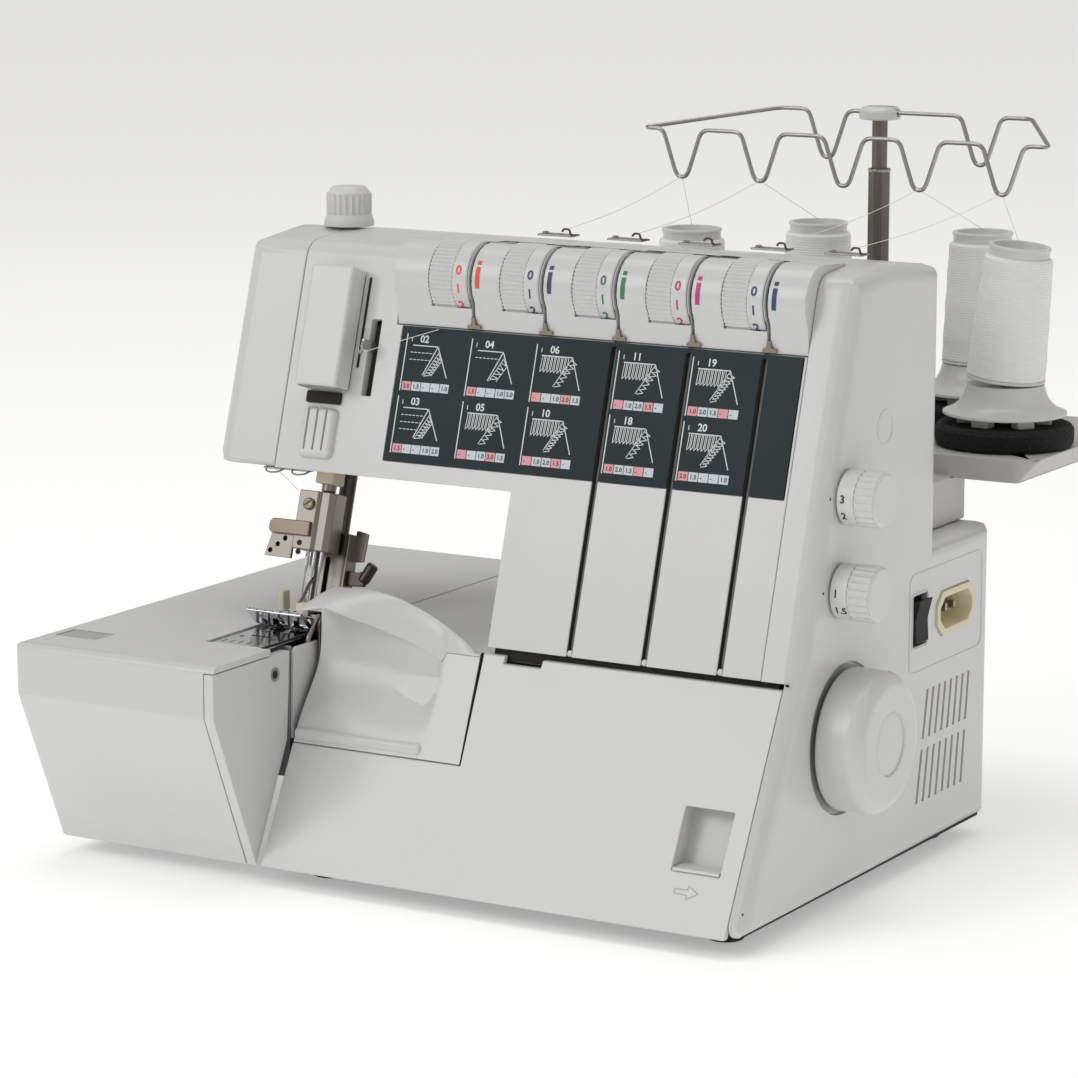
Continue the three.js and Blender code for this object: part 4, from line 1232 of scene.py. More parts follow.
@dataclass(frozen=True)
class SideDial:
    """A numbered dial on the right-hand face.

    Attributes:
        name: Start of its pieces' names.
        node: The CAD node it stands for.
        body: The body it rides on.
        centre: Its axis as (y, z).
        out: How far it stands out.
        figures: Its numbers from the top down.
    """

    name: str
    node: str
    body: Body
    centre: Point2
    out: float
    figures: tuple[str, ...]
    radius: float = 13.0
    seam: float = 9.0
    ribs: int = 24
    zero_at: float = math.radians(196)
    figure_pitch: float = 8.4

    def _band_point(self, u: float, v: float) -> Point3:
        """Wrap u (local x) and v (up the front) round the smooth band."""
        turn = self.zero_at - v / self.radius
        reach = self.radius - 0.05
        return (u, self.centre[0] + reach * math.cos(turn), self.centre[1] + reach * math.sin(turn))

    def build(self) -> None:
        """Make the band, the ribbed grip, the end cap and the numbers."""
        skirt = [(0.0, -6.0), (3.0, -6.0), (3.0, 0.1), (10.4, 0.1), (10.4, 0.9), (12.4, 0.9), (12.8, 1.4)]
        band = [*skirt, (12.8, self.seam), (0.0, self.seam)]
        dress(
            turned(f"{self.name}_band", band, self.centre, Axis.X), KNOB_WHITE, self.body, 0.0,
            stands_for=[self.node],
        )
        grip_end = self.out - 0.9
        grip = ribbed_disc(self.centre, self.radius, 0.8, self.ribs)
        dress(prism(f"{self.name}_grip", grip, self.seam, grip_end, Axis.X), KNOB_WHITE, self.body, 0.25)
        face = [
            (0.0, grip_end - 0.4), (12.3, grip_end - 0.4), (12.3, grip_end), (11.4, self.out),
            (0.0, self.out),
        ]
        dress(turned(f"{self.name}_face", face, self.centre, Axis.X), KNOB_WHITE, self.body, 0.3)
        printed = Print()
        for row, figure in enumerate(self.figures):
            printed.words(figure, (2.6, 3.0 - row * self.figure_pitch), 3.7)
        dress(printed.lay(f"{self.name}_figures", self._band_point), PRINT_BLACK, self.body, 0.0)
        spot = (self.centre[0] - 17, self.centre[1] + 1.5)
        dot = [(0.0, 0.02), (0.7, 0.02), (0.7, 0.12), (0.0, 0.12)]
        dress(turned(f"{self.name}_index", dot, spot, Axis.X, 20), PRINT_BLACK, edge=0.0)


@dataclass(frozen=True)
class Handwheel:
    """The handwheel and the dish it sits in."""

    centre: Point2 = (100.7, 80.5)
    radius: float = 33.0
    out: float = 23.5
    rounding: float = 7.5
    boss: float = 14.6
    chords: int = 12

    def build(self) -> None:
        """Make the wheel, its inset face and a grey disc of painted shade in the dish behind it."""
        profile = [(0.0, 0.8), (31.0, 0.8), (32.4, 1.2), (self.radius, 2.4)]
        for step in range(self.chords + 1):
            turn = QUARTER * step / self.chords
            profile.append((
                self.radius - self.rounding * (1 - math.cos(turn)),
                self.out - self.rounding * (1 - math.sin(turn)),
            ))
        profile += [
            (self.boss + 0.9, self.out), (self.boss + 0.3, self.out - 0.3), (self.boss, self.out - 1.0),
        ]
        profile += [
            (self.boss - 0.5, self.out - 0.75), (self.boss - 2.5, self.out - 0.45), (0.0, self.out - 0.35),
        ]
        wheel = turned("handwheel_rim", profile, self.centre, Axis.X, 128)
        dress(wheel, WHITE, Body.DRIVE, 0.0, stands_for=["handwheel"])
        # A mid-grey disc on the dish floor paints the shade behind the wheel.
        dish = [(6.0, -1.9), (34.0, -1.9), (34.0, -1.6), (6.0, -1.6), (6.0, -1.9)]
        dress(turned("wheel_dish_shade", dish, self.centre, Axis.X), POD_GREY, edge=0.0)


@dataclass(frozen=True)
class PowerPanel:
    """The mains inlet's pins, the raised panel outline, the switch bezel and the round plug."""

    inlet: Point2 = (218.5, 120.0)
    pin_gap: float = 9.5
    panel: tuple[float, float, float, float] = (168.0, 250.0, 96.0, 144.0)
    bezel: tuple[float, float, float, float] = (171.0, 188.6, 107.4, 134.8)
    plug: Point2 = (138.4, 218.5)
    line: float = 0.7
    proud: float = 0.3

    def _frame(self, name: str, box: Sequence[float], radius: float) -> bpy.types.Object:
        """Make a thin raised rectangular line on the right-hand face.

        Args:
            name: Its name.
            box: Lowest and highest y, then z.
            radius: Its corner radius.

        Returns:
            The object.
        """
        outer = prism(name, rectangle(*box, radius), -0.3, self.proud)
        inner = rectangle(
            box[0] + self.line, box[1] - self.line, box[2] + self.line, box[3] - self.line, radius,
        )
        return with_cuts(outer, prism("inner", inner, -2, 2))

    def build(self) -> None:
        """Make the pins, the outline, the bezel and the plug."""
        pins = []
        for name, shift in (("left", -self.pin_gap), ("middle", 0.0), ("right", self.pin_gap)):
            spot = rectangle(
                self.inlet[0] + shift - 1.0, self.inlet[0] + shift + 1.0, self.inlet[1] - 2.2,
                self.inlet[1] + 2.2, 0.8,
            )
            pins.append(prism(name, spot, -15.2, -4.0, Axis.X, 0.0, 0.7))
        dress(gathered("inlet_pins", pins), SATIN, edge=0.0)
        dress(self._frame("panel_outline", self.panel, 5.0), WHITE, edge=0.12)
        dress(self._frame("switch_bezel", self.bezel, 1.6), WHITE, edge=0.12)
        rim = [
            (7.4, -0.2), (8.4, -0.2), (8.4, 0.1), (8.0, self.proud), (7.7, self.proud), (7.4, 0.1),
            (7.4, -0.2),
        ]
        dress(turned("side_plug", rim, self.plug, Axis.X, 64), WHITE, edge=0.0)


# ---------------------------------------------------------------- spool stand


@dataclass(frozen=True)
class ThreadSpools:
    """Four foam rests with cone holders, and the thread cones on them."""

    spots: tuple[Point2, ...] = ((-179.0, 284.0), (-137.0, 343.0), (-45.0, 343.0), (-5.0, 284.0))
    lean: tuple[float, ...] = (0.0, 0.0, 0.0, 5.5)
    tray_top: float = 190.0
    foam_radius: float = 34.0
    foam_height: float = 10.4
    holder_radius: float = 30.4
    holder_low: float = 204.6
    holder_top: float = 219.6
    bore: float = 6.5
    cone_low: float = 19.7
    cone_top: float = 16.6
    cone_height: float = 66.0
    wind_pitch: float = 1.15
    strand: float = 0.05
    sway: float = 0.12
    legs: int = 6
    holder_edge: float = 220.0

    def rest(self, index: int, spot: Point2) -> None:
        """Make one foam ring and the holder above it.

        Args:
            index: Which spool, from 0.
            spot: Its pin as (x, y).
        """
        low, high = self.tray_top, self.tray_top + self.foam_height
        radius = self.foam_radius
        foam = turned(f"foam_ring_{index + 1}", [
            (self.bore, low), (radius - 1.4, low), (radius - 0.3, low + 1.2), (radius, low + 4),
            (radius - 0.1, high - 2.2),
            (radius - 1.6, high - 0.4), (radius - 4, high), (self.bore, high), (self.bore, low),
        ], spot)
        dress(foam, FOAM, edge=0.0, stands_for=[f"spool_rest_{index + 1}"])
        wide, base = self.holder_radius, self.holder_low
        holder = turned("holder", [
            (self.bore, base), (wide - 0.7, base), (wide, base + 0.5), (wide - 0.2, base + 1.6),
            (25.6, base + 3.4),
            (22.6, base + 6.0), (20.6, base + 9.4), (19.4, base + 13.4), (19.0, self.holder_top),
            (self.bore, self.holder_top),
            (self.bore, base),
        ], spot)
        legs = []
        for leg in range(self.legs):
            turn = FULL_TURN * (leg + 0.35) / self.legs
            stand = Matrix.Translation((*spot, 0)) @ Matrix.Rotation(turn, 4, "Z")
            block = prism(
                f"leg_{leg}", rectangle(15.5, 23.0, -4.6, 4.6, 0.8), high - 0.7, base + 0.4, Axis.Z,
            )
            block.data.transform(stand)
            legs.append(block)
        dress(gathered(f"cone_holder_{index + 1}", [holder, *legs]), WHITE, edge=0.2)

    def cone(self, index: int, spot: Point2) -> None:
        """Make one wound thread cone and its plastic core.

        Args:
            index: Which spool, from 0.
            spot: Its pin as (x, y).
        """
        lean = math.radians(self.lean[index])
        base = self.holder_edge + 20.5 * math.sin(lean)
        stand = Matrix.Translation((*spot, base)) @ Matrix.Rotation(lean, 4, "Y")
        shoulder = self.cone_height - 6.6
        profile = [(10.2, 1.4), (self.cone_low - 1.4, 1.4), (self.cone_low - 0.3, 2.2)]
        steps = int((shoulder - 3) / self.wind_pitch * 4)
        for step in range(steps + 1):
            height = 3 + (shoulder - 3) * step / steps
            share = height / self.cone_height
            ripple = self.strand * math.cos(FULL_TURN * height / self.wind_pitch)
            ripple += self.sway * math.sin(height * 0.41 + index)
            radius = self.cone_low + (self.cone_top - self.cone_low) * share - 0.25 + ripple
            profile.append((radius, height))
        profile += [(16.2, shoulder + 0.7), (15.4, shoulder + 1.3), (10.2, shoulder + 1.5), (10.2, 1.4)]
        wound = turned(f"wound_thread_{index + 1}", profile, (0, 0))
        dress(wound, THREAD, edge=0.0, matrix=stand, stands_for=[f"thread_cone_{index + 1}"])
        top = self.cone_height
        core = turned(f"cone_core_{index + 1}", [
            (8.6, 0.0), (self.cone_low - 0.6, 0.0), (self.cone_low - 0.2, 0.7), (self.cone_low - 0.9, 1.5),
            (10.4, 1.6),
            (10.1, shoulder), (14.6, shoulder + 1.2), (14.7, shoulder + 4.6), (15.2, shoulder + 5.0),
            (15.3, top - 0.7), (14.9, top), (13.2, top), (12.7, top - 0.6), (12.2, shoulder + 2),
            (9.0, shoulder), (8.6, 0.0),
        ], (0, 0))
        dress(core, KNOB_WHITE, edge=0.0, matrix=stand)

    def build(self) -> None:
        """Make all four spools."""
        for index, spot in enumerate(self.spots):
            self.rest(index, spot)
            self.cone(index, spot)


@dataclass(frozen=True)
class Mast:
    """The fluted telescopic mast and the bent wire of thread hooks."""

    at: Point2 = (-91.0, 318.0)
    tray_top: float = 189.9
    joint: float = 317.5
    cap_low: float = 341.8
    lower_radius: float = 5.6
    upper_radius: float = 4.0
    flutes: int = 8
    wire_radius: float = 1.08
    front: Point2 = (273.0, 336.5)
    back_z: float = 345.5
    hook_xs: tuple[float, ...] = (-4.0, -48.0, -89.0, -135.0, -179.0)
    hook_top: float = 11.0
    hook_bottom: float = 3.2
    hook_depth: float = 24.2

    def tubes(self) -> None:
        """Make both fluted tubes and the bright line where they meet."""
        lower = ribbed_disc(self.at, self.lower_radius, 0.45, self.flutes)
        tube_low = with_cuts(
            prism("mast_tube_lower", lower, self.tray_top, self.joint, Axis.Z),
            prism("bore", disc(self.at, 4.4), self.tray_top - 5, self.joint + 5, Axis.Z),
        )
        dress(tube_low, BRONZE, edge=0.15, stands_for=["mast_lower"])
        ring = [
            (4.4, self.joint - 1.6), (5.75, self.joint - 1.6), (5.75, self.joint - 0.2),
            (4.4, self.joint - 0.2), (4.4, self.joint - 1.6),
        ]
        dress(turned("mast_collar", ring, self.at), SATIN, edge=0.2)
        upper = ribbed_disc(self.at, self.upper_radius, 0.35, self.flutes)
        tube_high = prism("mast_tube_upper", upper, 193, self.cap_low - 0.2, Axis.Z)
        dress(tube_high, BRONZE, Body.MAST, 0.12, stands_for=["mast_upper"])

    def _hook(self, x: float, y: float, z: float, direction: int) -> list[Point3]:
        """Corners of one hook in the wire.

        Args:
            x: Its middle.
            y: Its depth.
            z: Height of the wire there.
            direction: 1 if the wire runs towards +x, else -1.

        Returns:
            The corners in order.
        """
        top, bottom, low = self.hook_top * direction, self.hook_bottom * direction, z - self.hook_depth
        return [
            (x - top, y, z), (x - bottom, y, low + 1.2), (x, y, low), (x + bottom, y, low + 1.2),
            (x + top, y, z),
        ]

    def wire(self) -> None:
        """Make the wire: a back rail with two hooks and a front rail with five."""
        x, y = self.at
        path: list[Point3] = [(x + 0.2, y, self.back_z), (x + 14, y, self.back_z)]
        path += self._hook(-36, y, self.back_z, 1)
        path += [(-9, y, self.back_z), (20, *self.front)]
        for hook_x in self.hook_xs:
            path += self._hook(hook_x, *self.front, -1)
        path += [(-201, *self.front), (-147, y, self.back_z)]
        path += self._hook(-120, y, self.back_z, 1)
        path.append((x - 0.2, y, self.back_z))
        wire = tube("thread_hook_wire", bent_path(path, 4.2), self.wire_radius)
        dress(wire, SATIN, Body.MAST, 0.0, stands_for=["thread_guide_wire"])

    def build(self) -> None:
        """Make the mast and its wire."""
        self.tubes()
        self.wire()


# ---------------------------------------------------------------- thread plates on the top edge


@dataclass(frozen=True)
class ThreadPlates:
    """Five thin guide plates on the top rear edge, each with an upturned hook."""

    low: float = 290.5
    depth: tuple[float, float] = (179.8, 188.4)

    def plate(self, index: int, slot: float) -> None:
        """Make one plate and its hook.

        Args:
            index: Which plate, from 0.
            slot: Local x of its thread slot.
        """
        plan = rectangle(slot - 12, slot + 8, *self.depth, 1.2)
        plate = prism(f"thread_plate_{index + 1}", plan, self.low, self.low + 0.8, Axis.Z, 0.0, 0.2)
        window = prism(
            "window", rectangle(slot - 9.5, slot + 1.5, 182.2, 185.8, 1.0), self.low - 2, self.low + 3,
            Axis.Z,
        )
        path = [
            (slot + 7.4, 186.6, self.low + 0.6), (slot + 7.6, 181.0, self.low + 0.8),
            (slot + 7.2, 179.6, self.low + 1.6),
            (slot + 6.6, 179.8, self.low + 3.9), (slot + 3.4, 180.0, self.low + 4.0),
            (slot + 2.2, 180.4, self.low + 2.6),
        ]
        dress(with_cuts(plate, window), SATIN, edge=0.1, stands_for=["thread_guide_rail"])
        dress(tube(f"thread_hook_{index + 1}", bent_path(path, 1.2), 0.55, 10), DARK_STEEL, edge=0.0)
        screw = turned(f"plate_screw_{index + 1}", [
            (0.0, self.low + 0.7), (1.7, self.low + 0.7), (1.6, self.low + 1.3), (0.9, self.low + 1.6),
            (0.0, self.low + 1.6),
        ], (slot - 10.4, 186.3), sides=32)
        dress(screw, STEEL, edge=0.0)

    def build(self) -> None:
        """Make all five plates."""
        for index, slot in enumerate(LINES.thread_slots):
            self.plate(index, slot)


# ---------------------------------------------------------------- needle area


@dataclass(frozen=True)
class NeedleGroup:
    """Needle bar, clamp, needles, presser bar and foot holder, drawn in (x, depth, rise)."""

    bar_x: float = -278.0
    bar_depth: float = 24.6
    presser_x: float = -276.0
    presser_depth: float = 38.0
    clamp: tuple[float, float] = (-289.5, -271.0)
    needle_lead: float = 1.4
    fan_holes: tuple[Point2, ...] = ((12.4, 36.0), (8.6, 39.2), (4.8, 42.4))
    bracket_holes: tuple[float, ...] = (41.0, 36.6)
    screw_turn: float = math.radians(38)
    lever_turn: float = math.radians(28)
    needle_xs: tuple[float, ...] = (-283.5, -279.5, -275.5)
    needle_rod: tuple[Point2, ...] = (
        (0.0, 67.2), (3.0, 67.2), (3.6, 67.8), (3.6, 159.4), (3.0, 160.0), (0.0, 160.0),
    )
    presser_rod: tuple[Point2, ...] = (
        (0.0, 22.0), (3.6, 22.0), (4.0, 22.5), (4.0, 164.4), (3.5, 165.0), (0.0, 165.0),
    )
    needle_profile: tuple[Point2, ...] = (
        (0.0, 12.2), (0.18, 12.9), (0.42, 14.6), (0.46, 27.0), (0.92, 30.0), (1.0, 30.6), (1.0, 38.6),
        (0.0, 38.6),
    )

    def bars(self) -> None:
        """Make the needle bar and the presser bar."""
        slope = LINES.slope()
        needle = turned("needle_bar_rod", self.needle_rod, (self.bar_x, self.bar_depth), sides=48)
        dress(needle, STEEL, Body.NEEDLE, 0.0, slope, ["needle_bar"])
        presser = turned("presser_bar_rod", self.presser_rod, (self.presser_x, self.presser_depth), sides=48)
        dress(presser, DARK_STEEL, Body.PRESSER, 0.0, slope, ["presser_bar"])

    def clamp_block(self) -> None:
        """Make the clamp block with its screws, bracket and drilled fan plate."""
        slope = LINES.slope()
        left, right = self.clamp
        block = prism("needle_clamp_block", [
            (left, 17.0, 0.6), (left + 10.6, 17.0, 0.4), (left + 12.0, 19.0, 0.3), (right - 2.4, 19.0, 0.6),
            (right, 21.4, 0.6),
            (right, 31.0, 0.8), (left, 31.0, 0.8),
        ], 38.0, 66.8, Axis.Z, 0.5, 0.5)
        dress(block, STEEL, Body.NEEDLE, 0.0, slope, ["needle_clamp"])
        bracket = prism("needle_bracket", [
            (left - 13.6, 44.4, 2.6), (left + 9.6, 44.4, 0.8), (left + 9.6, 51.6, 0.8),
            (left - 13.6, 51.6, 3.0),
        ], 15.2, 17.6, Axis.Y, 0.6, 0.3)
        dress(bracket, BRASS, Body.NEEDLE, 0.0, slope)
        fan = prism("thread_fan_plate", [
            (left - 15.4, 33.2, 0.6), (left - 0.2, 33.0, 0.5), (left - 0.2, 46.0, 0.4),
            (left - 12.6, 46.0, 0.6),
        ], 17.8, 19.6, Axis.Y, 0.2, 0.2)
        spots = [(left - reach, rise) for reach, rise in self.fan_holes]
        drills = [prism("drill", disc(spot, 1.25, 24), 10, 30, Axis.Y) for spot in spots]
        dress(with_cuts(fan, *drills), STEEL, Body.NEEDLE, 0.1, slope)
        # Dark discs behind the drilled and bracket holes are painted shade seen through them.
        hole_shade_discs = [prism("back", disc(spot, 1.6, 24), 19.7, 20.4, Axis.Y) for spot in spots]
        hole_shade_discs += [
            prism(
                "back", disc((left + 4.2, rise), 1.35, 24), 16.8, 17.4, Axis.Y,
            ) for rise in self.bracket_holes
        ]
        dress(gathered("thread_hole_shade", hole_shade_discs), DARK, Body.NEEDLE, 0.0, slope)
        head = turned(
            "screw_head", [(0.0, 0.0), (2.9, 0.0), (2.9, 1.4), (2.4, 1.9), (0.0, 1.9)], (0, 0), sides=40,
        )
        slot = prism("screw_slot", rectangle(-3.4, 3.4, -0.45, 0.45), 1.2, 3.0, Axis.Z)
        facing = Matrix.Translation((left + 6.6, 17.1, 60.2)) @ Matrix.Rotation(QUARTER, 4, "X")
        turned_slot = facing @ Matrix.Rotation(self.screw_turn, 4, "Z")
        dress(with_cuts(head, slot), BRASS, Body.NEEDLE, 0.12, slope @ turned_slot)

    def needles(self) -> None:
        """Make three needles, each with a shank, a slim blade and a point."""
        for index, x in enumerate(self.needle_xs):
            spot = (x, self.bar_depth - self.needle_lead)
            needle = turned(f"needle_{index + 1}", self.needle_profile, spot, sides=24)
            dress(needle, CHROME, Body.NEEDLE, 0.0, LINES.slope())

    def holder(self) -> None:
        """Make the long slotted foot holder and its clamp lever."""
        slope = LINES.slope()
        plate = prism("foot_holder_plate", [
            (-287.6, 3.0, 0.8), (-269.4, 3.0, 1.0), (-267.0, 16.0, 1.0), (-267.4, 49.0, 1.0),
            (-285.6, 49.0, 1.0),
        ], 33.0, 35.6, Axis.Y, 0.4, 0.4)
        slot = prism("slot", rectangle(-279.2, -276.4, 13.5, 37.0, 1.3), 20, 60, Axis.Y)
        cheek = prism("cheek", [
            (33.0, 3.0, 0.6), (40.5, 3.0, 0.8), (42.5, 28.0, 0.8), (42.5, 49.0, 0.8), (33.0, 49.0, 0.6),
        ], -269.6, -267.4, Axis.X, 0.3, 0.3)
        dress(gathered("foot_holder", [with_cuts(plate, slot), cheek]), STEEL, Body.PRESSER, 0.15, slope)
        ridge = [(31.2, 4.0, 0.4), (33.4, 4.0), (33.4, 47.0), (31.2, 46.0, 0.4)]
        rib = prism("foot_holder_rib", ridge, -287.2, -283.4, Axis.X, 0.3, 0.3)
        dress(rib, SATIN, Body.PRESSER, 0.0, slope)
        # A dark sheet under the holder's slot is painted shadow.
        shadow = prism("holder_slot_shadow", rectangle(-279.6, -276.0, 13.0, 37.4, 1.3), 35.7, 36.2, Axis.Y)
        dress(shadow, DARK, Body.PRESSER, 0.0, slope)
        arm = prism("release_lever_arm", [
            (-267.2, 24.0, 0.8), (-257.5, 24.6, 1.2), (-257.0, 32.6, 1.6), (-262.0, 31.0, 1.0),
            (-267.2, 31.6, 0.6),
        ], 36.0, 39.0, Axis.Y, 0.5, 0.5)
        dress(arm, DARK_STEEL, Body.PRESSER, 0.0, slope)
        grip = turned("release_lever_grip", [
            (0.0, -5.0), (2.2, -5.0), (2.9, -4.2), (2.9, 4.2), (2.2, 5.0), (0.0, 5.0),
        ], (0, 0), sides=36)
        lay = slope @ Matrix.Translation((-256.6, 37.4, 31.2)) @ Matrix.Rotation(self.lever_turn, 4, "Y")
        dress(grip, DARK_STEEL, Body.PRESSER, 0.0, lay)
        tab = prism("holder_back_plate", [
            (-268.0, 36.0, 0.6), (-262.2, 36.6, 0.8), (-261.6, 50.6, 1.0), (-268.4, 51.6, 0.8),
        ], 40.0, 41.6, Axis.Y, 0.3, 0.3)
        dress(tab, STEEL, Body.PRESSER, 0.0, slope)

    def build(self) -> None:
        """Make the whole group."""
        self.bars()
        self.clamp_block()
        self.needles()
        self.holder()


@dataclass(frozen=True)
class PresserFoot:
    """The chrome foot: a slotted sole with an upturned, notched toe."""

    left: float = -293.0
    right: float = -261.6
    sole: tuple[float, float] = (110.35, 112.6)
    toe_front: float = 47.8
    toe_top: float = 120.4
    notches: int = 7
    slots: tuple[tuple[Corner, float], ...] = (
        ((-287.8, -271.4, 66.0, 88.0, 1.2), 118.0),
        ((-287.0, -284.6, 50.0, 64.0, 1.0), 130.0),
        ((-276.4, -273.8, 50.0, 64.0, 1.0), 130.0),
    )

    def build(self) -> None:
        """Make the sole, toe, ankle and the small white blocks on it."""
        low, high = self.sole
        side = [
            (106.8, low, 0.5), (106.8, high, 0.5), (58.4, high, 6.0),
            (self.toe_front + 1.6, self.toe_top, 0.6),
            (self.toe_front, self.toe_top - 1.4, 0.6), (56.6, low, 6.0),
        ]
        body = prism("foot", side, self.left, self.right, Axis.X, 0.4, 0.4)
        tools = [prism("slot", rectangle(*plan), 100, top, Axis.Z) for plan, top in self.slots]
        pitch = (self.right - self.left) / self.notches
        for notch in range(self.notches):
            middle = self.left + pitch * (notch + 0.5)
            tools.append(prism("notch", rectangle(middle - 0.9, middle + 0.9, 119.4, 124.0), 40, 56, Axis.Y))
        dress(with_cuts(body, *tools), CHROME, Body.PRESSER, 0.12, stands_for=["presser_foot"])
        ankle = prism("foot_ankle", [
            (95.5, high - 0.2), (106.6, high - 0.2, 0.6), (106.6, 120.2, 1.4), (98.0, 120.2, 2.0),
            (95.5, 116.4, 1.0),
        ], -284.0, -268.0, Axis.X, 0.6, 0.6)
        dress(ankle, SATIN, Body.PRESSER, 0.0)
        block = prism(
            "foot_guide_block", rectangle(-265.8, -261.9, 50.6, 55.4, 0.6), 118.2, 124.2, Axis.Z, 0.3, 0.5,
        )
        dress(block, IVORY, Body.PRESSER, 0.0)
        lug = prism(
            "foot_side_lug", rectangle(-294.6, -291.4, 78.0, 84.4, 1.2), 113.0, 122.6, Axis.Z, 0.3, 0.8,
        )
        dress(lug, IVORY, Body.PRESSER, 0.0)
        spring = tube("foot_spring", bent_path([
            (-266.0, 53.0, 123.2), (-267.5, 60.0, 126.0), (-271.0, 70.0, 129.6), (-273.0, 77.0, 131.2),
        ], 1.5), 0.9, 12)
        dress(spring, STEEL, Body.PRESSER, 0.0)


@dataclass(frozen=True)
class StitchPlate:
    """Printed marks and painted shade for the slots and screw recesses on the polished needle plate, and the
    parts beside the knife.
    """

    top: float = 109.65
    left: float = -289.4
    slots: int = 4
    slot_pitch: float = 5.6
    scale_marks: int = 5
    scale_pitch: float = 4.6
    screws: tuple[Point2, ...] = ((-285.0, 33.0), (-267.2, 33.0))

    def build(self) -> None:
        """Make the plate's slots and screw recesses in painted shade, its printed marks and the knife's
        neighbours.
        """
        # The feed slots, screw recesses and the long slot are painted shade; the scale lines are printed
        # marks.
        marks = Print()
        for slot in range(self.slots):
            at = self.left + 3.2 + slot * self.slot_pitch
            marks.area(rectangle(at, at + 1.1, 46.0, 61.0, 0.5))
        for mark in range(self.scale_marks):
            shift = mark * self.scale_pitch
            marks.box(self.left + 2.4 + shift, self.left + 2.9 + shift, 19.0, 24.0)
        for screw in self.screws:
            marks.area(disc(screw, 1.3, 24))
        marks.area(rectangle(-282.0, -270.0, 36.0, 37.6, 0.7))
        dress(marks.lay("needle_plate_shade_and_marks", lambda u, v: (u, v, self.top + 0.05)), DARK, edge=0.0)
        seam = prism(
            "needle_plate_seam", rectangle(-262.2, -261.4, 15.0, 118.0, 0.2), 108.6, self.top + 0.02, Axis.Z,
        )
        dress(seam, DARK, edge=0.0)
        finger = prism(
            "stitch_finger", rectangle(-263.6, -262.6, 60.0, 82.0, 0.4), self.top, 110.2, Axis.Z, 0.0, 0.1,
        )
        dress(finger, CHROME, edge=0.0)
        holder = prism("knife_holder", [
            (52.0, 84.0, 2.0), (74.0, 84.0, 2.0), (74.0, 112.0, 4.0), (64.0, 126.0, 6.0), (52.6, 116.0, 5.0),
        ], -254.9, -253.6, Axis.X, 0.4, 0.4)
        dress(holder, DARK_STEEL, edge=0.0)
        rod = tube(
            "knife_rod",
            bent_path([(-258.8, 48.0, 96.0), (-258.6, 50.0, 108.0), (-257.2, 58.0, 118.0)], 1.5), 1.3, 16,
        )
        dress(rod, STEEL, edge=0.0)


# ---------------------------------------------------------------- details of the head


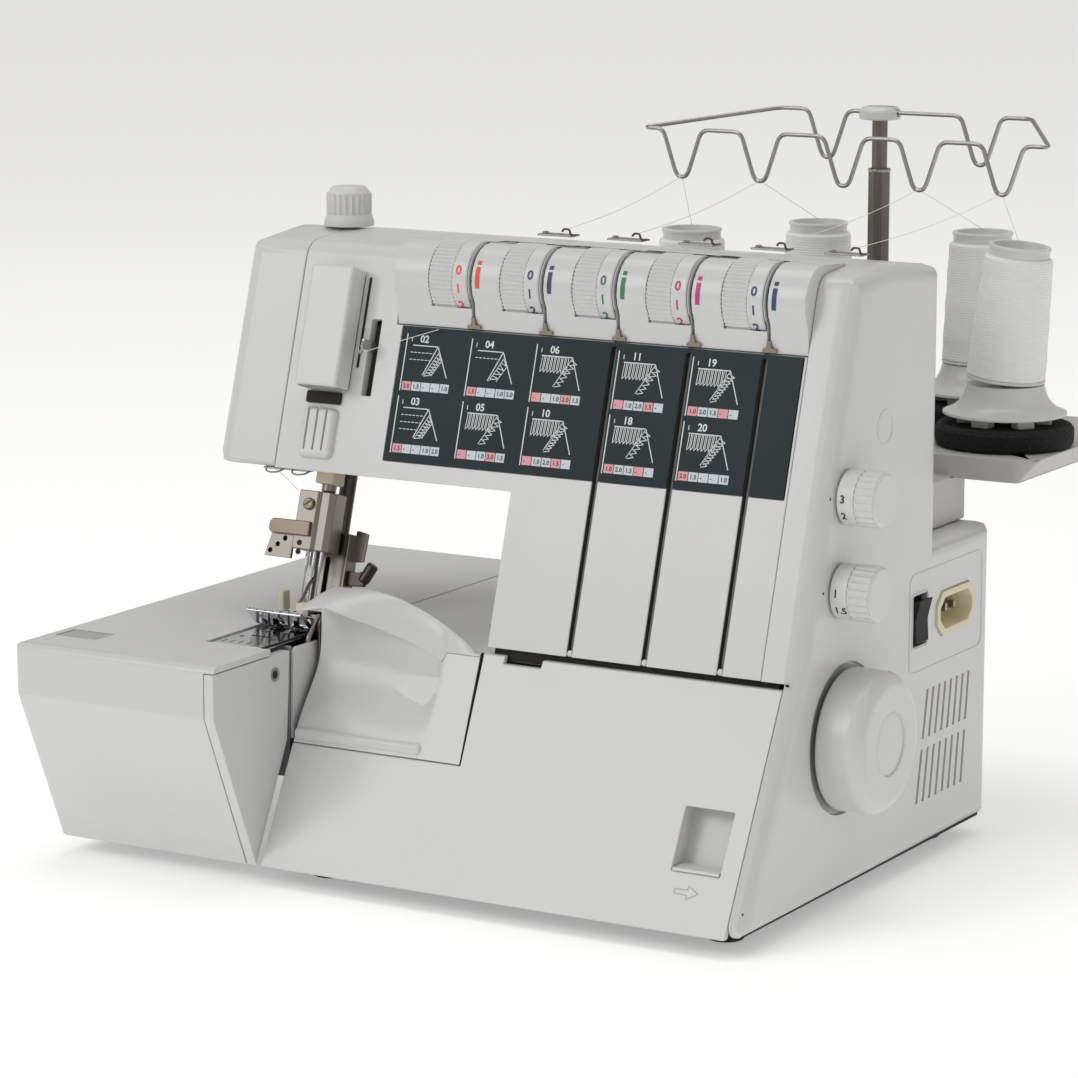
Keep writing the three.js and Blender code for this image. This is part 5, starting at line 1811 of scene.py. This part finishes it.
@dataclass(frozen=True)
class HeadDetails:
    """Small parts of the head: bush, guide plates, boss, painted shade in its slots and the pressure knob.
    """

    knob: Point2 = (-297.0, 148.0)
    stem: tuple[Point2, ...] = (
        (0.0, 282.0), (3.0, 282.0), (3.0, 293.7), (12.3, 293.7), (12.3, 295.6), (11.6, 297.8),
        (10.9, 299.6), (0.0, 299.6),
    )
    dome: tuple[Point2, ...] = (
        (0.0, 309.0), (10.4, 309.0), (10.4, 309.8), (8.7, 312.2), (7.8, 312.9), (0.0, 313.0),
    )
    groove_xs: tuple[float, ...] = (-278.6, -273.6, -268.6)
    guide_wire_xs: tuple[float, ...] = (-301.0, -286.0)

    def pressure_knob(self) -> None:
        """Make the fluted pressure knob with its domed top and flared skirt."""
        skirt = turned("pressure_knob_skirt", self.stem, self.knob)
        dress(skirt, KNOB_WHITE, Body.PRESSURE, 0.2, stands_for=["pressure_knob"])
        flutes = prism(
            "pressure_knob_grip", ribbed_disc(self.knob, 11.1, 0.9, 22), 299.4, 309.6, Axis.Z, 0.0, 0.5,
        )
        dress(flutes, KNOB_WHITE, Body.PRESSURE, 0.2)
        dress(turned("pressure_knob_top", self.dome, self.knob), KNOB_WHITE, Body.PRESSURE, 0.15)

    def underside(self) -> None:
        """Make the cream bush, the thread guide plate and painted shade in the openings under the head."""
        slope = LINES.slope()
        bush = prism(
            "needle_bar_bush", rectangle(-283.0, -273.0, 18.4, 30.4, 1.4), 71.0, 80.0, Axis.Z, 0.6, 0.0,
        )
        dress(bush, IVORY, edge=0.0, matrix=slope)
        # A dark sheet in the head's recess is painted shade.
        recess = prism("head_recess_shade", rectangle(-291.6, -262.4, 92.4, 127.6, 3.0), 183.9, 184.6, Axis.Z)
        dress(recess, DARK, edge=0.0)
        guide = prism("head_thread_guide", [
            (-303.0, 78.4, 1.4), (-276.0, 80.0, 0.8), (-276.0, 84.6, 0.8), (-303.0, 83.4, 1.4),
        ], 182.2, 183.0, Axis.Z, 0.2, 0.2)
        holes = [
            prism("hole", disc((-299.0 + 7.2 * hole, 81.4), 1.0, 20), 170, 190, Axis.Z) for hole in range(3)
        ]
        dress(with_cuts(guide, *holes), SATIN, edge=0.1)
        for index, x in enumerate(self.guide_wire_xs):
            loop = bent_path([
                (x, 80.0, 183.2), (x + 0.4, 77.6, 181.4), (x + 3.6, 76.6, 181.0), (x + 8.6, 77.0, 181.6),
                (x + 10.0, 79.8, 183.0),
            ], 1.5)
            dress(tube(f"head_guide_wire_{index + 1}", loop, 0.45, 10), SATIN, edge=0.0)
        # A dark lens-shaped sheet paints the shade in the recess under the arm.
        lens = prism("underside_recess_shade", [
            (-256.0, 100.0, 3.0), (-238.0, 96.0, 4.0), (-216.0, 100.0, 3.0), (-238.0, 108.0, 4.0),
        ], 183.2, 183.5, Axis.Z)
        dress(lens, DARK, edge=0.0)

    def boss(self) -> None:
        """Make the rounded boss with three grooves below the take-up cover."""
        slope = LINES.slope()
        body = prism(
            "thread_guide_boss", rectangle(-281.6, -263.4, 80.8, 105.4, 3.0), -3.4, 0.6, Axis.Y, 2.2, 0.0,
        )
        grooves = [
            prism("groove", rectangle(x, x + 1.1, 84.5, 110.0, 0.5), -8, -1.8, Axis.Y)
            for x in self.groove_xs
        ]
        dress(with_cuts(body, *grooves), WHITE, edge=0.15, matrix=slope)
        # Dark sheets in the take-up slot, the slit and the lever slot are painted shade.
        slot = prism("take_up_slot_shade", rectangle(-282.0, -262.6, 107.4, 113.2, 1.0), -1.4, -0.15, Axis.Y)
        dress(slot, DARK, edge=0.0, matrix=slope)
        slit_shade = prism("take_up_slit_shade", rectangle(-257.2, -255.9, 126.0, 170.0, 0.5), -0.3, -0.1, Axis.Y)
        dress(slit_shade, DARK, edge=0.0, matrix=slope)
        lever_slot_shade = prism("lever_slot_shade", rectangle(-252.2, -246.6, 113.4, 148.6, 1.2), 4.8, 5.2, Axis.Y)
        dress(lever_slot_shade, DARK, edge=0.0, matrix=slope)
        eye = tube("take_up_hook", bent_path([
            (-249.8, 90.0, 244.0), (-249.8, 86.4, 247.0), (-249.6, 85.6, 243.4), (-251.6, 86.2, 240.4),
            (-252.8, 87.4, 243.0),
        ], 1.5), 0.75, 12)
        dress(eye, SATIN, Body.TAKE_UP, 0.0)

    def build(self) -> None:
        """Make every detail of the head."""
        self.pressure_knob()
        self.underside()
        self.boss()


# ---------------------------------------------------------------- details of the covers


@dataclass(frozen=True)
class CoverDetails:
    """Seams, ledges, marks and trim on the front, the guard and the table."""

    arrow: tuple[Point2, ...] = (
        (-38.0, 26.4), (-31.5, 26.4), (-31.5, 28.2), (-26.0, 25.4), (-31.5, 22.6), (-31.5, 24.4),
        (-38.0, 24.4), (-38.0, 26.4),
    )
    screw: Point2 = (18.0, 97.0)

    def _on_front(self, z: float, proud: float) -> float:
        """Depth y of a point that stands proud of the lower front."""
        return LINES.lower_front(z) - proud

    def door(self) -> None:
        """Make painted shade in the gap above the door, the recess ledge, the arrow and the latch mark."""
        # A dark block behind the gap above the door is painted shade.
        gap = prism(
            "door_gap_shade", [(57.0, 108.0), (70.0, 108.0), (70.0, 116.4), (60.0, 116.4)], -160.0, -12.0,
            Axis.X,
        )
        dress(gap, DARK, edge=0.0)
        ledge = prism("recess_ledge", [
            (self._on_front(34.6, 0.1), 34.6, 0.4), (self._on_front(34.6, -9.0), 34.6),
            (self._on_front(34.6, -9.0), 33.2),
            (self._on_front(33.2, 0.15), 33.2, 0.3),
        ], -41.4, -18.1, Axis.X)
        dress(ledge, WHITE, Body.COVER, 0.1)
        arrow = Print()
        arrow.stroke(self.arrow, 0.45)
        laid = arrow.lay("door_arrow", lambda u, v: (u, self._on_front(v, 0.08), v))
        dress(laid, EMBOSS, Body.COVER, 0.0)
        tick = prism("latch_mark", rectangle(-6.9, -5.0, 112.6, 113.8, 0.3), 54.2, 54.6, Axis.Y)
        dress(tick, DARK, edge=0.0)

    def channels(self) -> None:
        """Make the grey linings of the threading channels and their white lips."""
        slope = LINES.slope()
        for index, x in enumerate(LINES.thread_slots[2:]):
            floor = prism(
                f"channel_lining_{index + 1}", rectangle(x - 1.45, x + 1.45, 3.6, 148.0), 3.3, 3.75, Axis.Y,
            )
            dress(floor, POD_GREY, edge=0.0, matrix=slope)
            shade = prism(
                f"channel_shade_{index + 1}", rectangle(x - 1.48, x - 1.1, 3.6, 148.0), 0.5, 3.6, Axis.Y,
            )
            dress(shade, DARK, edge=0.0, matrix=slope)
            lip = prism(
                f"channel_lip_{index + 1}", rectangle(x - 1.45, x + 1.45, 1.6, 4.6, 1.2), 0.4, 3.7, Axis.Y,
                0.8, 0.0,
            )
            dress(lip, WHITE, edge=0.0, matrix=slope)

    def table(self) -> None:
        """Make the end cap's screw and the painted shade in its socket."""
        cup = [
            (0.0, -256.2), (3.4, -256.2), (3.4, -255.75), (2.9, -255.6), (2.4, -255.75), (2.2, -256.1),
            (0.0, -256.1),
        ]
        dress(turned("end_cap_screw_rim", cup, self.screw, Axis.X, 48), SATIN, Body.TABLE, 0.0)
        # A dark hexagon paints the shade inside the screw's socket.
        socket = prism("end_cap_screw_socket_shade", disc(self.screw, 2.0, 6), -256.1, -255.85, Axis.X)
        dress(socket, DARK, Body.TABLE, 0.0)

    def build(self) -> None:
        """Make every detail of the covers."""
        self.door()
        self.channels()
        self.table()


@dataclass(frozen=True)
class LooperGuard:
    """The guard in front of the loopers: a concave face under a wide arched flange.

    Attributes:
        ends: Its left and right ends.
        low: Height of its lower edge.
        arch: Corners of the arch from right to left as (x, z); the first three bend as one curve.
        under_peak: Highest point of the flange's lower edge as (x, z).
        under_fall: How steeply that edge falls to the right.
        flush_top: Top of the part that is flush with the front cover.
        lip: Depth of the flange's front edge at its left end.
        back: Depth of its back face.
        hollow: How deep the face is hollowed.
        step: Where the hollow ends on the right.
        blend: Length over which the hollow bends into its back.
        slant: Lean of its right end, per millimetre of height.
        stations: Cross-sections along its length.
        rows: Points up its face.
        nose: Rounded front edge of the flange as (set back, height above its lower edge).
        nose_height: Height of that edge.
        crown: Bend of the flange's top as (share of its depth, share of its rise).
        back_foot: Height where the back face turns in to the lower edge.
        shell: Thickness at the lower edge.
    """

    ends: Point2 = (-253.2, -161.9)
    low: float = 63.0
    arch: tuple[Point2, ...] = (
        (-165.0, 109.8), (-192.0, 131.0), (-226.0, 134.0), (-246.0, 133.4), (-253.2, 129.0),
    )
    under_peak: Point2 = (-241.0, 127.0)
    under_fall: float = 0.41
    flush_top: float = 108.6
    lip: float = 33.0
    back: float = 56.6
    hollow: float = 9.5
    step: float = -181.5
    blend: float = 7.0
    slant: float = 0.07
    stations: int = 64
    rows: int = 22
    nose: tuple[Point2, ...] = ((0.5, 0.15), (0.0, 0.5), (0.0, 0.9), (0.2, 1.3))
    nose_height: float = 1.3
    crown: tuple[Point2, ...] = ((0.34, 0.5), (0.68, 0.86))
    back_foot: float = 105.0
    shell: float = 3.4

    def _top(self, x: float) -> float:
        """Give the height of the arch's upper edge.

        Args:
            x: Where along the guard.

        Returns:
            The height z.
        """
        (x0, z0), (x1, z1), (x2, z2), (x3, z3), (x4, z4) = self.arch
        if x >= x0:
            return z0
        if x >= x2:
            low, high = 0.0, 1.0
            for _ in range(30):
                share = (low + high) / 2
                along = (1 - share) ** 2 * x0 + 2 * share * (1 - share) * x1 + share ** 2 * x2
                low, high = (share, high) if along > x else (low, share)
            return (1 - share) ** 2 * z0 + 2 * share * (1 - share) * z1 + share ** 2 * z2
        if x >= x3:
            return z2 + (z3 - z2) * (x2 - x) / (x2 - x3)
        return z3 + (z4 - z3) * ((x3 - x) / (x3 - x4)) ** 1.6

    @staticmethod
    def _ease(share: float) -> float:
        """Ease a share between 0 and 1."""
        share = min(max(share, 0.0), 1.0)
        return share * share * (3 - 2 * share)

    def _under(self, x: float) -> float:
        """Height of the flange's lower edge at x, left of the flush part."""
        peak_x, peak_z = self.under_peak
        right, left = max(x - peak_x, 0.0), max(peak_x - x, 0.0)
        return peak_z - self.under_fall * right * right / (right + 4) - 0.2 * left

    def _softly_limited(self, depth: float, blend: float) -> float:
        """Keep a depth in front of the back face, bending over a short way."""
        limit = self.back - 2.0
        return (depth + limit - math.hypot(depth - limit, blend)) / 2

    def _ring(self, x: float) -> list[Point3]:
        """Give one cross-section.

        Args:
            x: Where along the guard.

        Returns:
            Its points, from the lower edge up the face and down the back.
        """
        top = self._top(x)
        flush = self._ease((x - self.step + 1.2) / 2.4)
        under = self._under(x) + (self.flush_top - self._under(x)) * flush
        lip = self.lip + (LINES.lower_front(under) - self.lip) * self._ease((x + 250) / 68)
        ring: list[Point3] = []
        for row in range(self.rows + 1):
            share = row / self.rows
            z = self.low + (under - self.low) * share
            width = 24 - 20 * min(share * 1.4, 1.0)
            across = self._ease((self.step - x) / width)
            depth = self.hollow * self._ease(share * 1.5 - 0.15) * across
            ring.append((x, self._softly_limited(LINES.lower_front(z) + depth, self.blend * across), z))
        face_y = ring[-1][1]
        lip = min(lip, face_y)
        ring.append((x, face_y - (face_y - lip) * 0.15, under + 0.1))
        ring += [(x, lip + inset, under + height) for inset, height in self.nose]
        rise = max(top - under - self.nose_height, 0.1)
        for share, climb in self.crown:
            reach = lip + (self.back - 1 - lip) * share
            ring.append((x, reach, under + self.nose_height + rise * climb))
        ring.append((x, self.back - 0.6, under + self.nose_height + rise))
        ring.append((x, self.back, under + 0.9 + rise))
        ring.append((x, self.back, self.back_foot))
        ring.append((x, LINES.lower_front(self.low) + self.shell, self.low))
        return ring

    def build(self) -> None:
        """Make the guard and the rounded bar along its lower left edge."""
        left, right = self.ends
        rings = []
        for station in range(self.stations + 1):
            share = station / self.stations
            ring = self._ring(left + (right - left) * share)
            rings.append([(x - self.slant * share * (z - self.low), y, z) for x, y, z in ring])
        guard = loft("looper_guard_face", rings)
        dress(guard, WHITE, Body.COVER, 0.0, stands_for=["looper_guard"])
        cheek = prism("free_arm_cheek", [
            (33.6, 63.0), (56.6, 63.0), (56.6, 106.6, 2.0), (35.0, 106.6, 3.0),
        ], -258.3, -256.7, Axis.X)
        dress(cheek, WHITE, edge=0.2)
        front = LINES.lower_front(66.5)
        bar = prism("guard_lower_bar", [
            (front - 1.9, 64.4, 1.4), (front + 2.6, 64.4), (front + 2.6, 69.4), (front - 1.9, 69.4, 2.0),
        ], -253.0, -184.0, Axis.X, 0.6, 2.2)
        dress(bar, WHITE, Body.COVER, 0.0)
        seam = []
        for z in (self.low - 0.4, 110.6):
            near, at = LINES.lower_front(z) + 0.2, right + 0.12 - self.slant * (z - self.low)
            seam.append([(at, near, z), (at + 0.5, near, z), (at + 0.5, near + 1.8, z), (at, near + 1.8, z)])
        dress(loft("guard_seam", seam), DARK, Body.COVER, 0.0)


# ---------------------------------------------------------------- threads


@dataclass(frozen=True)
class Threads:
    """Fine threads from the cones to the wire hooks and down to the plates."""

    radius: float = 0.16
    cone_tops: tuple[Point3, ...] = (
        (-179.0, 284.0, 287.0), (-137.0, 343.0, 287.0), (-45.0, 343.0, 287.0), (1.4, 284.0, 287.0),
    )
    hooks: tuple[Point3, ...] = (
        (-179.0, 273.0, 312.9), (-135.0, 273.0, 312.9), (-48.0, 273.0, 312.9), (-4.0, 273.0, 312.9),
    )
    plates: tuple[int, ...] = (0, 1, 3, 4)

    def build(self) -> None:
        """Make each thread in two runs, and the one that crosses the chart."""
        for index, (top, hook) in enumerate(zip(self.cone_tops, self.hooks)):
            straight = [Vector(top).lerp(Vector(hook), step / 8) for step in range(9)]
            self._stretch(tube(f"thread_rise_{index + 1}", straight, self.radius, 6), top, hook)
            slot = LINES.thread_slots[self.plates[index]]
            end = (slot + 5.0, 180.2, 294.4)
            run = self._bowed(hook, end, 16, (0.0, 0.0, -2.4))
            self._stretch(tube(f"thread_run_{index + 1}", run, self.radius, 6), end, hook)
        tab = LINES.slope() @ Vector((-214.0, -1.2, 147.4))
        hook = Vector((-251.6, 86.6, 241.0))
        drape = self._bowed(tab, hook, 8, (0.0, -0.8, 0.0))
        dress(tube("thread_to_take_up", drape, self.radius, 6), THREAD, edge=0.0)
        guide, eye = Vector((-296.0, 79.6, 182.4)), LINES.slope() @ Vector((-290.0, 16.4, 66.0))
        fall = self._bowed(guide, eye, 6, (0.6, 0.0, 0.0))
        dress(tube("thread_to_needle", fall, self.radius, 6), THREAD, edge=0.0)

    @staticmethod
    def _bowed(start: Sequence[float], end: Sequence[float], steps: int, bow: Point3) -> list[Vector]:
        """Give the points of a thread that bows away from the straight line.

        Args:
            start: Where it starts.
            end: Where it ends.
            steps: How many pieces it has.
            bow: How far its middle is off the straight line.

        Returns:
            The points from start to end.
        """
        points = []
        for step in range(steps + 1):
            share = step / steps
            points.append(Vector(start).lerp(Vector(end), share) + Vector(bow) * math.sin(math.pi * share))
        return points

    def _stretch(self, thread: bpy.types.Object, low: Sequence[float], high: Sequence[float]) -> None:
        """Finish a thread: move it into the frame, shade it smooth and give it the thread finish.

        Args:
            thread: Its mesh, in local millimetres.
            low: Its end on the machine.
            high: Its end on the mast.
        """
        thread.data.transform(DATUM.matrix())
        smooth_shaded(thread)
        thread.data.materials.append(THREAD.material())
        DATUM.matrix() @ Vector(low)
        DATUM.matrix() @ Vector(high)
        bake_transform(thread)
        log.info("thread %s", thread.name)


# ---------------------------------------------------------------- studio


@dataclass(frozen=True)
class Lamp:
    """A soft square lamp.

    Attributes:
        name: Its name.
        at: Where it hangs.
        size: Its side in metres.
        watts: Its power.
    """

    name: str
    at: Point3
    size: float
    watts: float


@dataclass(frozen=True)
class Studio:
    """Pale floor, soft light and the camera."""

    eye: Point3 = (0.96149, -1.69772, 0.51431)
    target: Point3 = (0.0118, -0.07835, 0.1582)
    lens: float = 135.71
    sensor: float = 36.0
    far_clip: float = 200.0
    floor_size: float = 80.0
    paper: Finish = Finish(
        "studio_paper", "white_shell", (0.88, 0.88, 0.875), 0.8, scale=60.0, mottle=0.005, dust=0.0,
        glow=0.34,
    )
    lamps: tuple[Lamp, ...] = (
        Lamp("key_light", (-1.3, -2.3, 1.7), 1.5, 18.0),
        Lamp("side_light", (2.6, -0.4, 1.6), 1.2, 2.0),
        Lamp("top_light", (-0.2, 0.3, 2.6), 1.8, 19.0),
    )
    lamp_target: Point3 = (0.0, 0.0, 0.15)
    sky: Colour = (1.0, 0.985, 0.965)
    sky_strength: float = 0.47

    def floor(self) -> None:
        """Make the floor."""
        half = self.floor_size / 2
        mesh = bpy.data.meshes.new("studio_floor")
        corners = [(-half, -half, 0), (half, -half, 0), (half, half, 0), (-half, half, 0)]
        mesh.from_pydata(corners, [], [(0, 1, 2, 3)])
        made = bpy.data.objects.new("studio_floor", mesh)
        bpy.context.scene.collection.objects.link(made)
        made.data.materials.append(self.paper.material())

    @staticmethod
    def _aim(holder: bpy.types.Object, at: Point3, target: Point3) -> None:
        """Put a lamp or camera at a point and turn it to face another.

        Args:
            holder: The lamp or camera.
            at: Where it stands.
            target: What it faces.
        """
        holder.location = at
        holder.rotation_mode = "QUATERNION"
        holder.rotation_quaternion = (Vector(target) - Vector(at)).to_track_quat("-Z", "Y")
        bpy.context.scene.collection.objects.link(holder)

    def light(self, lamp: Lamp) -> None:
        """Add a lamp that faces the machine."""
        source = bpy.data.lights.new(lamp.name, "AREA")
        source.size = lamp.size
        source.energy = lamp.watts
        self._aim(bpy.data.objects.new(lamp.name, source), lamp.at, self.lamp_target)

    def world(self) -> None:
        """Fill the surroundings with even white light."""
        made = bpy.data.worlds.new("studio_world")
        made.use_nodes = True
        background = made.node_tree.nodes["Background"]
        background.inputs["Color"].default_value = (*self.sky, 1.0)
        background.inputs["Strength"].default_value = self.sky_strength
        bpy.context.scene.world = made
        bpy.context.scene.view_settings.view_transform = "Standard"

    def camera(self) -> None:
        """Add the camera."""
        lens = bpy.data.cameras.new("studio_camera")
        lens.lens = self.lens
        lens.sensor_width = self.sensor
        lens.dof.use_dof = False
        lens.clip_end = self.far_clip
        holder = bpy.data.objects.new("studio_camera", lens)
        self._aim(holder, self.eye, self.target)
        bpy.context.scene.camera = holder

    def build(self) -> None:
        """Set up the whole studio."""
        self.floor()
        self.world()
        for lamp in self.lamps:
            self.light(lamp)
        self.camera()


# ---------------------------------------------------------------- the whole machine


class Assembly(Protocol):
    """A sub-assembly that can make its own pieces."""

    def build(self) -> None:
        """Make every piece."""


@dataclass(frozen=True)
class Coverlock:
    """The machine, sub-assembly by sub-assembly."""

    assemblies: tuple[Assembly, ...] = (
        Shells(),
        TensionDials(),
        StitchChart(),
        SideDial("length_dial", "stitch_length_dial", Body.LENGTH_DIAL, (99.8, 192.2), 19.5, ("3", "2")),
        SideDial("feed_dial", "differential_dial", Body.FEED_DIAL, (94.1, 150.2), 20.8, ("1", "1.5")),
        Handwheel(),
        PowerPanel(),
        ThreadSpools(),
        Mast(),
        ThreadPlates(),
        NeedleGroup(),
        PresserFoot(),
        StitchPlate(),
        HeadDetails(),
        CoverDetails(),
        LooperGuard(),
        Threads(),
    )

    def build(self) -> None:
        """Build every sub-assembly."""
        for assembly in self.assemblies:
            log.info("building %s", type(assembly).__name__)
            assembly.build()


def main() -> None:
    """Build the machine and its studio."""
    logging.basicConfig(level=logging.INFO, format="%(message)s")
    Coverlock().build()
    Studio().build()


if __name__ == "__main__":
    main()
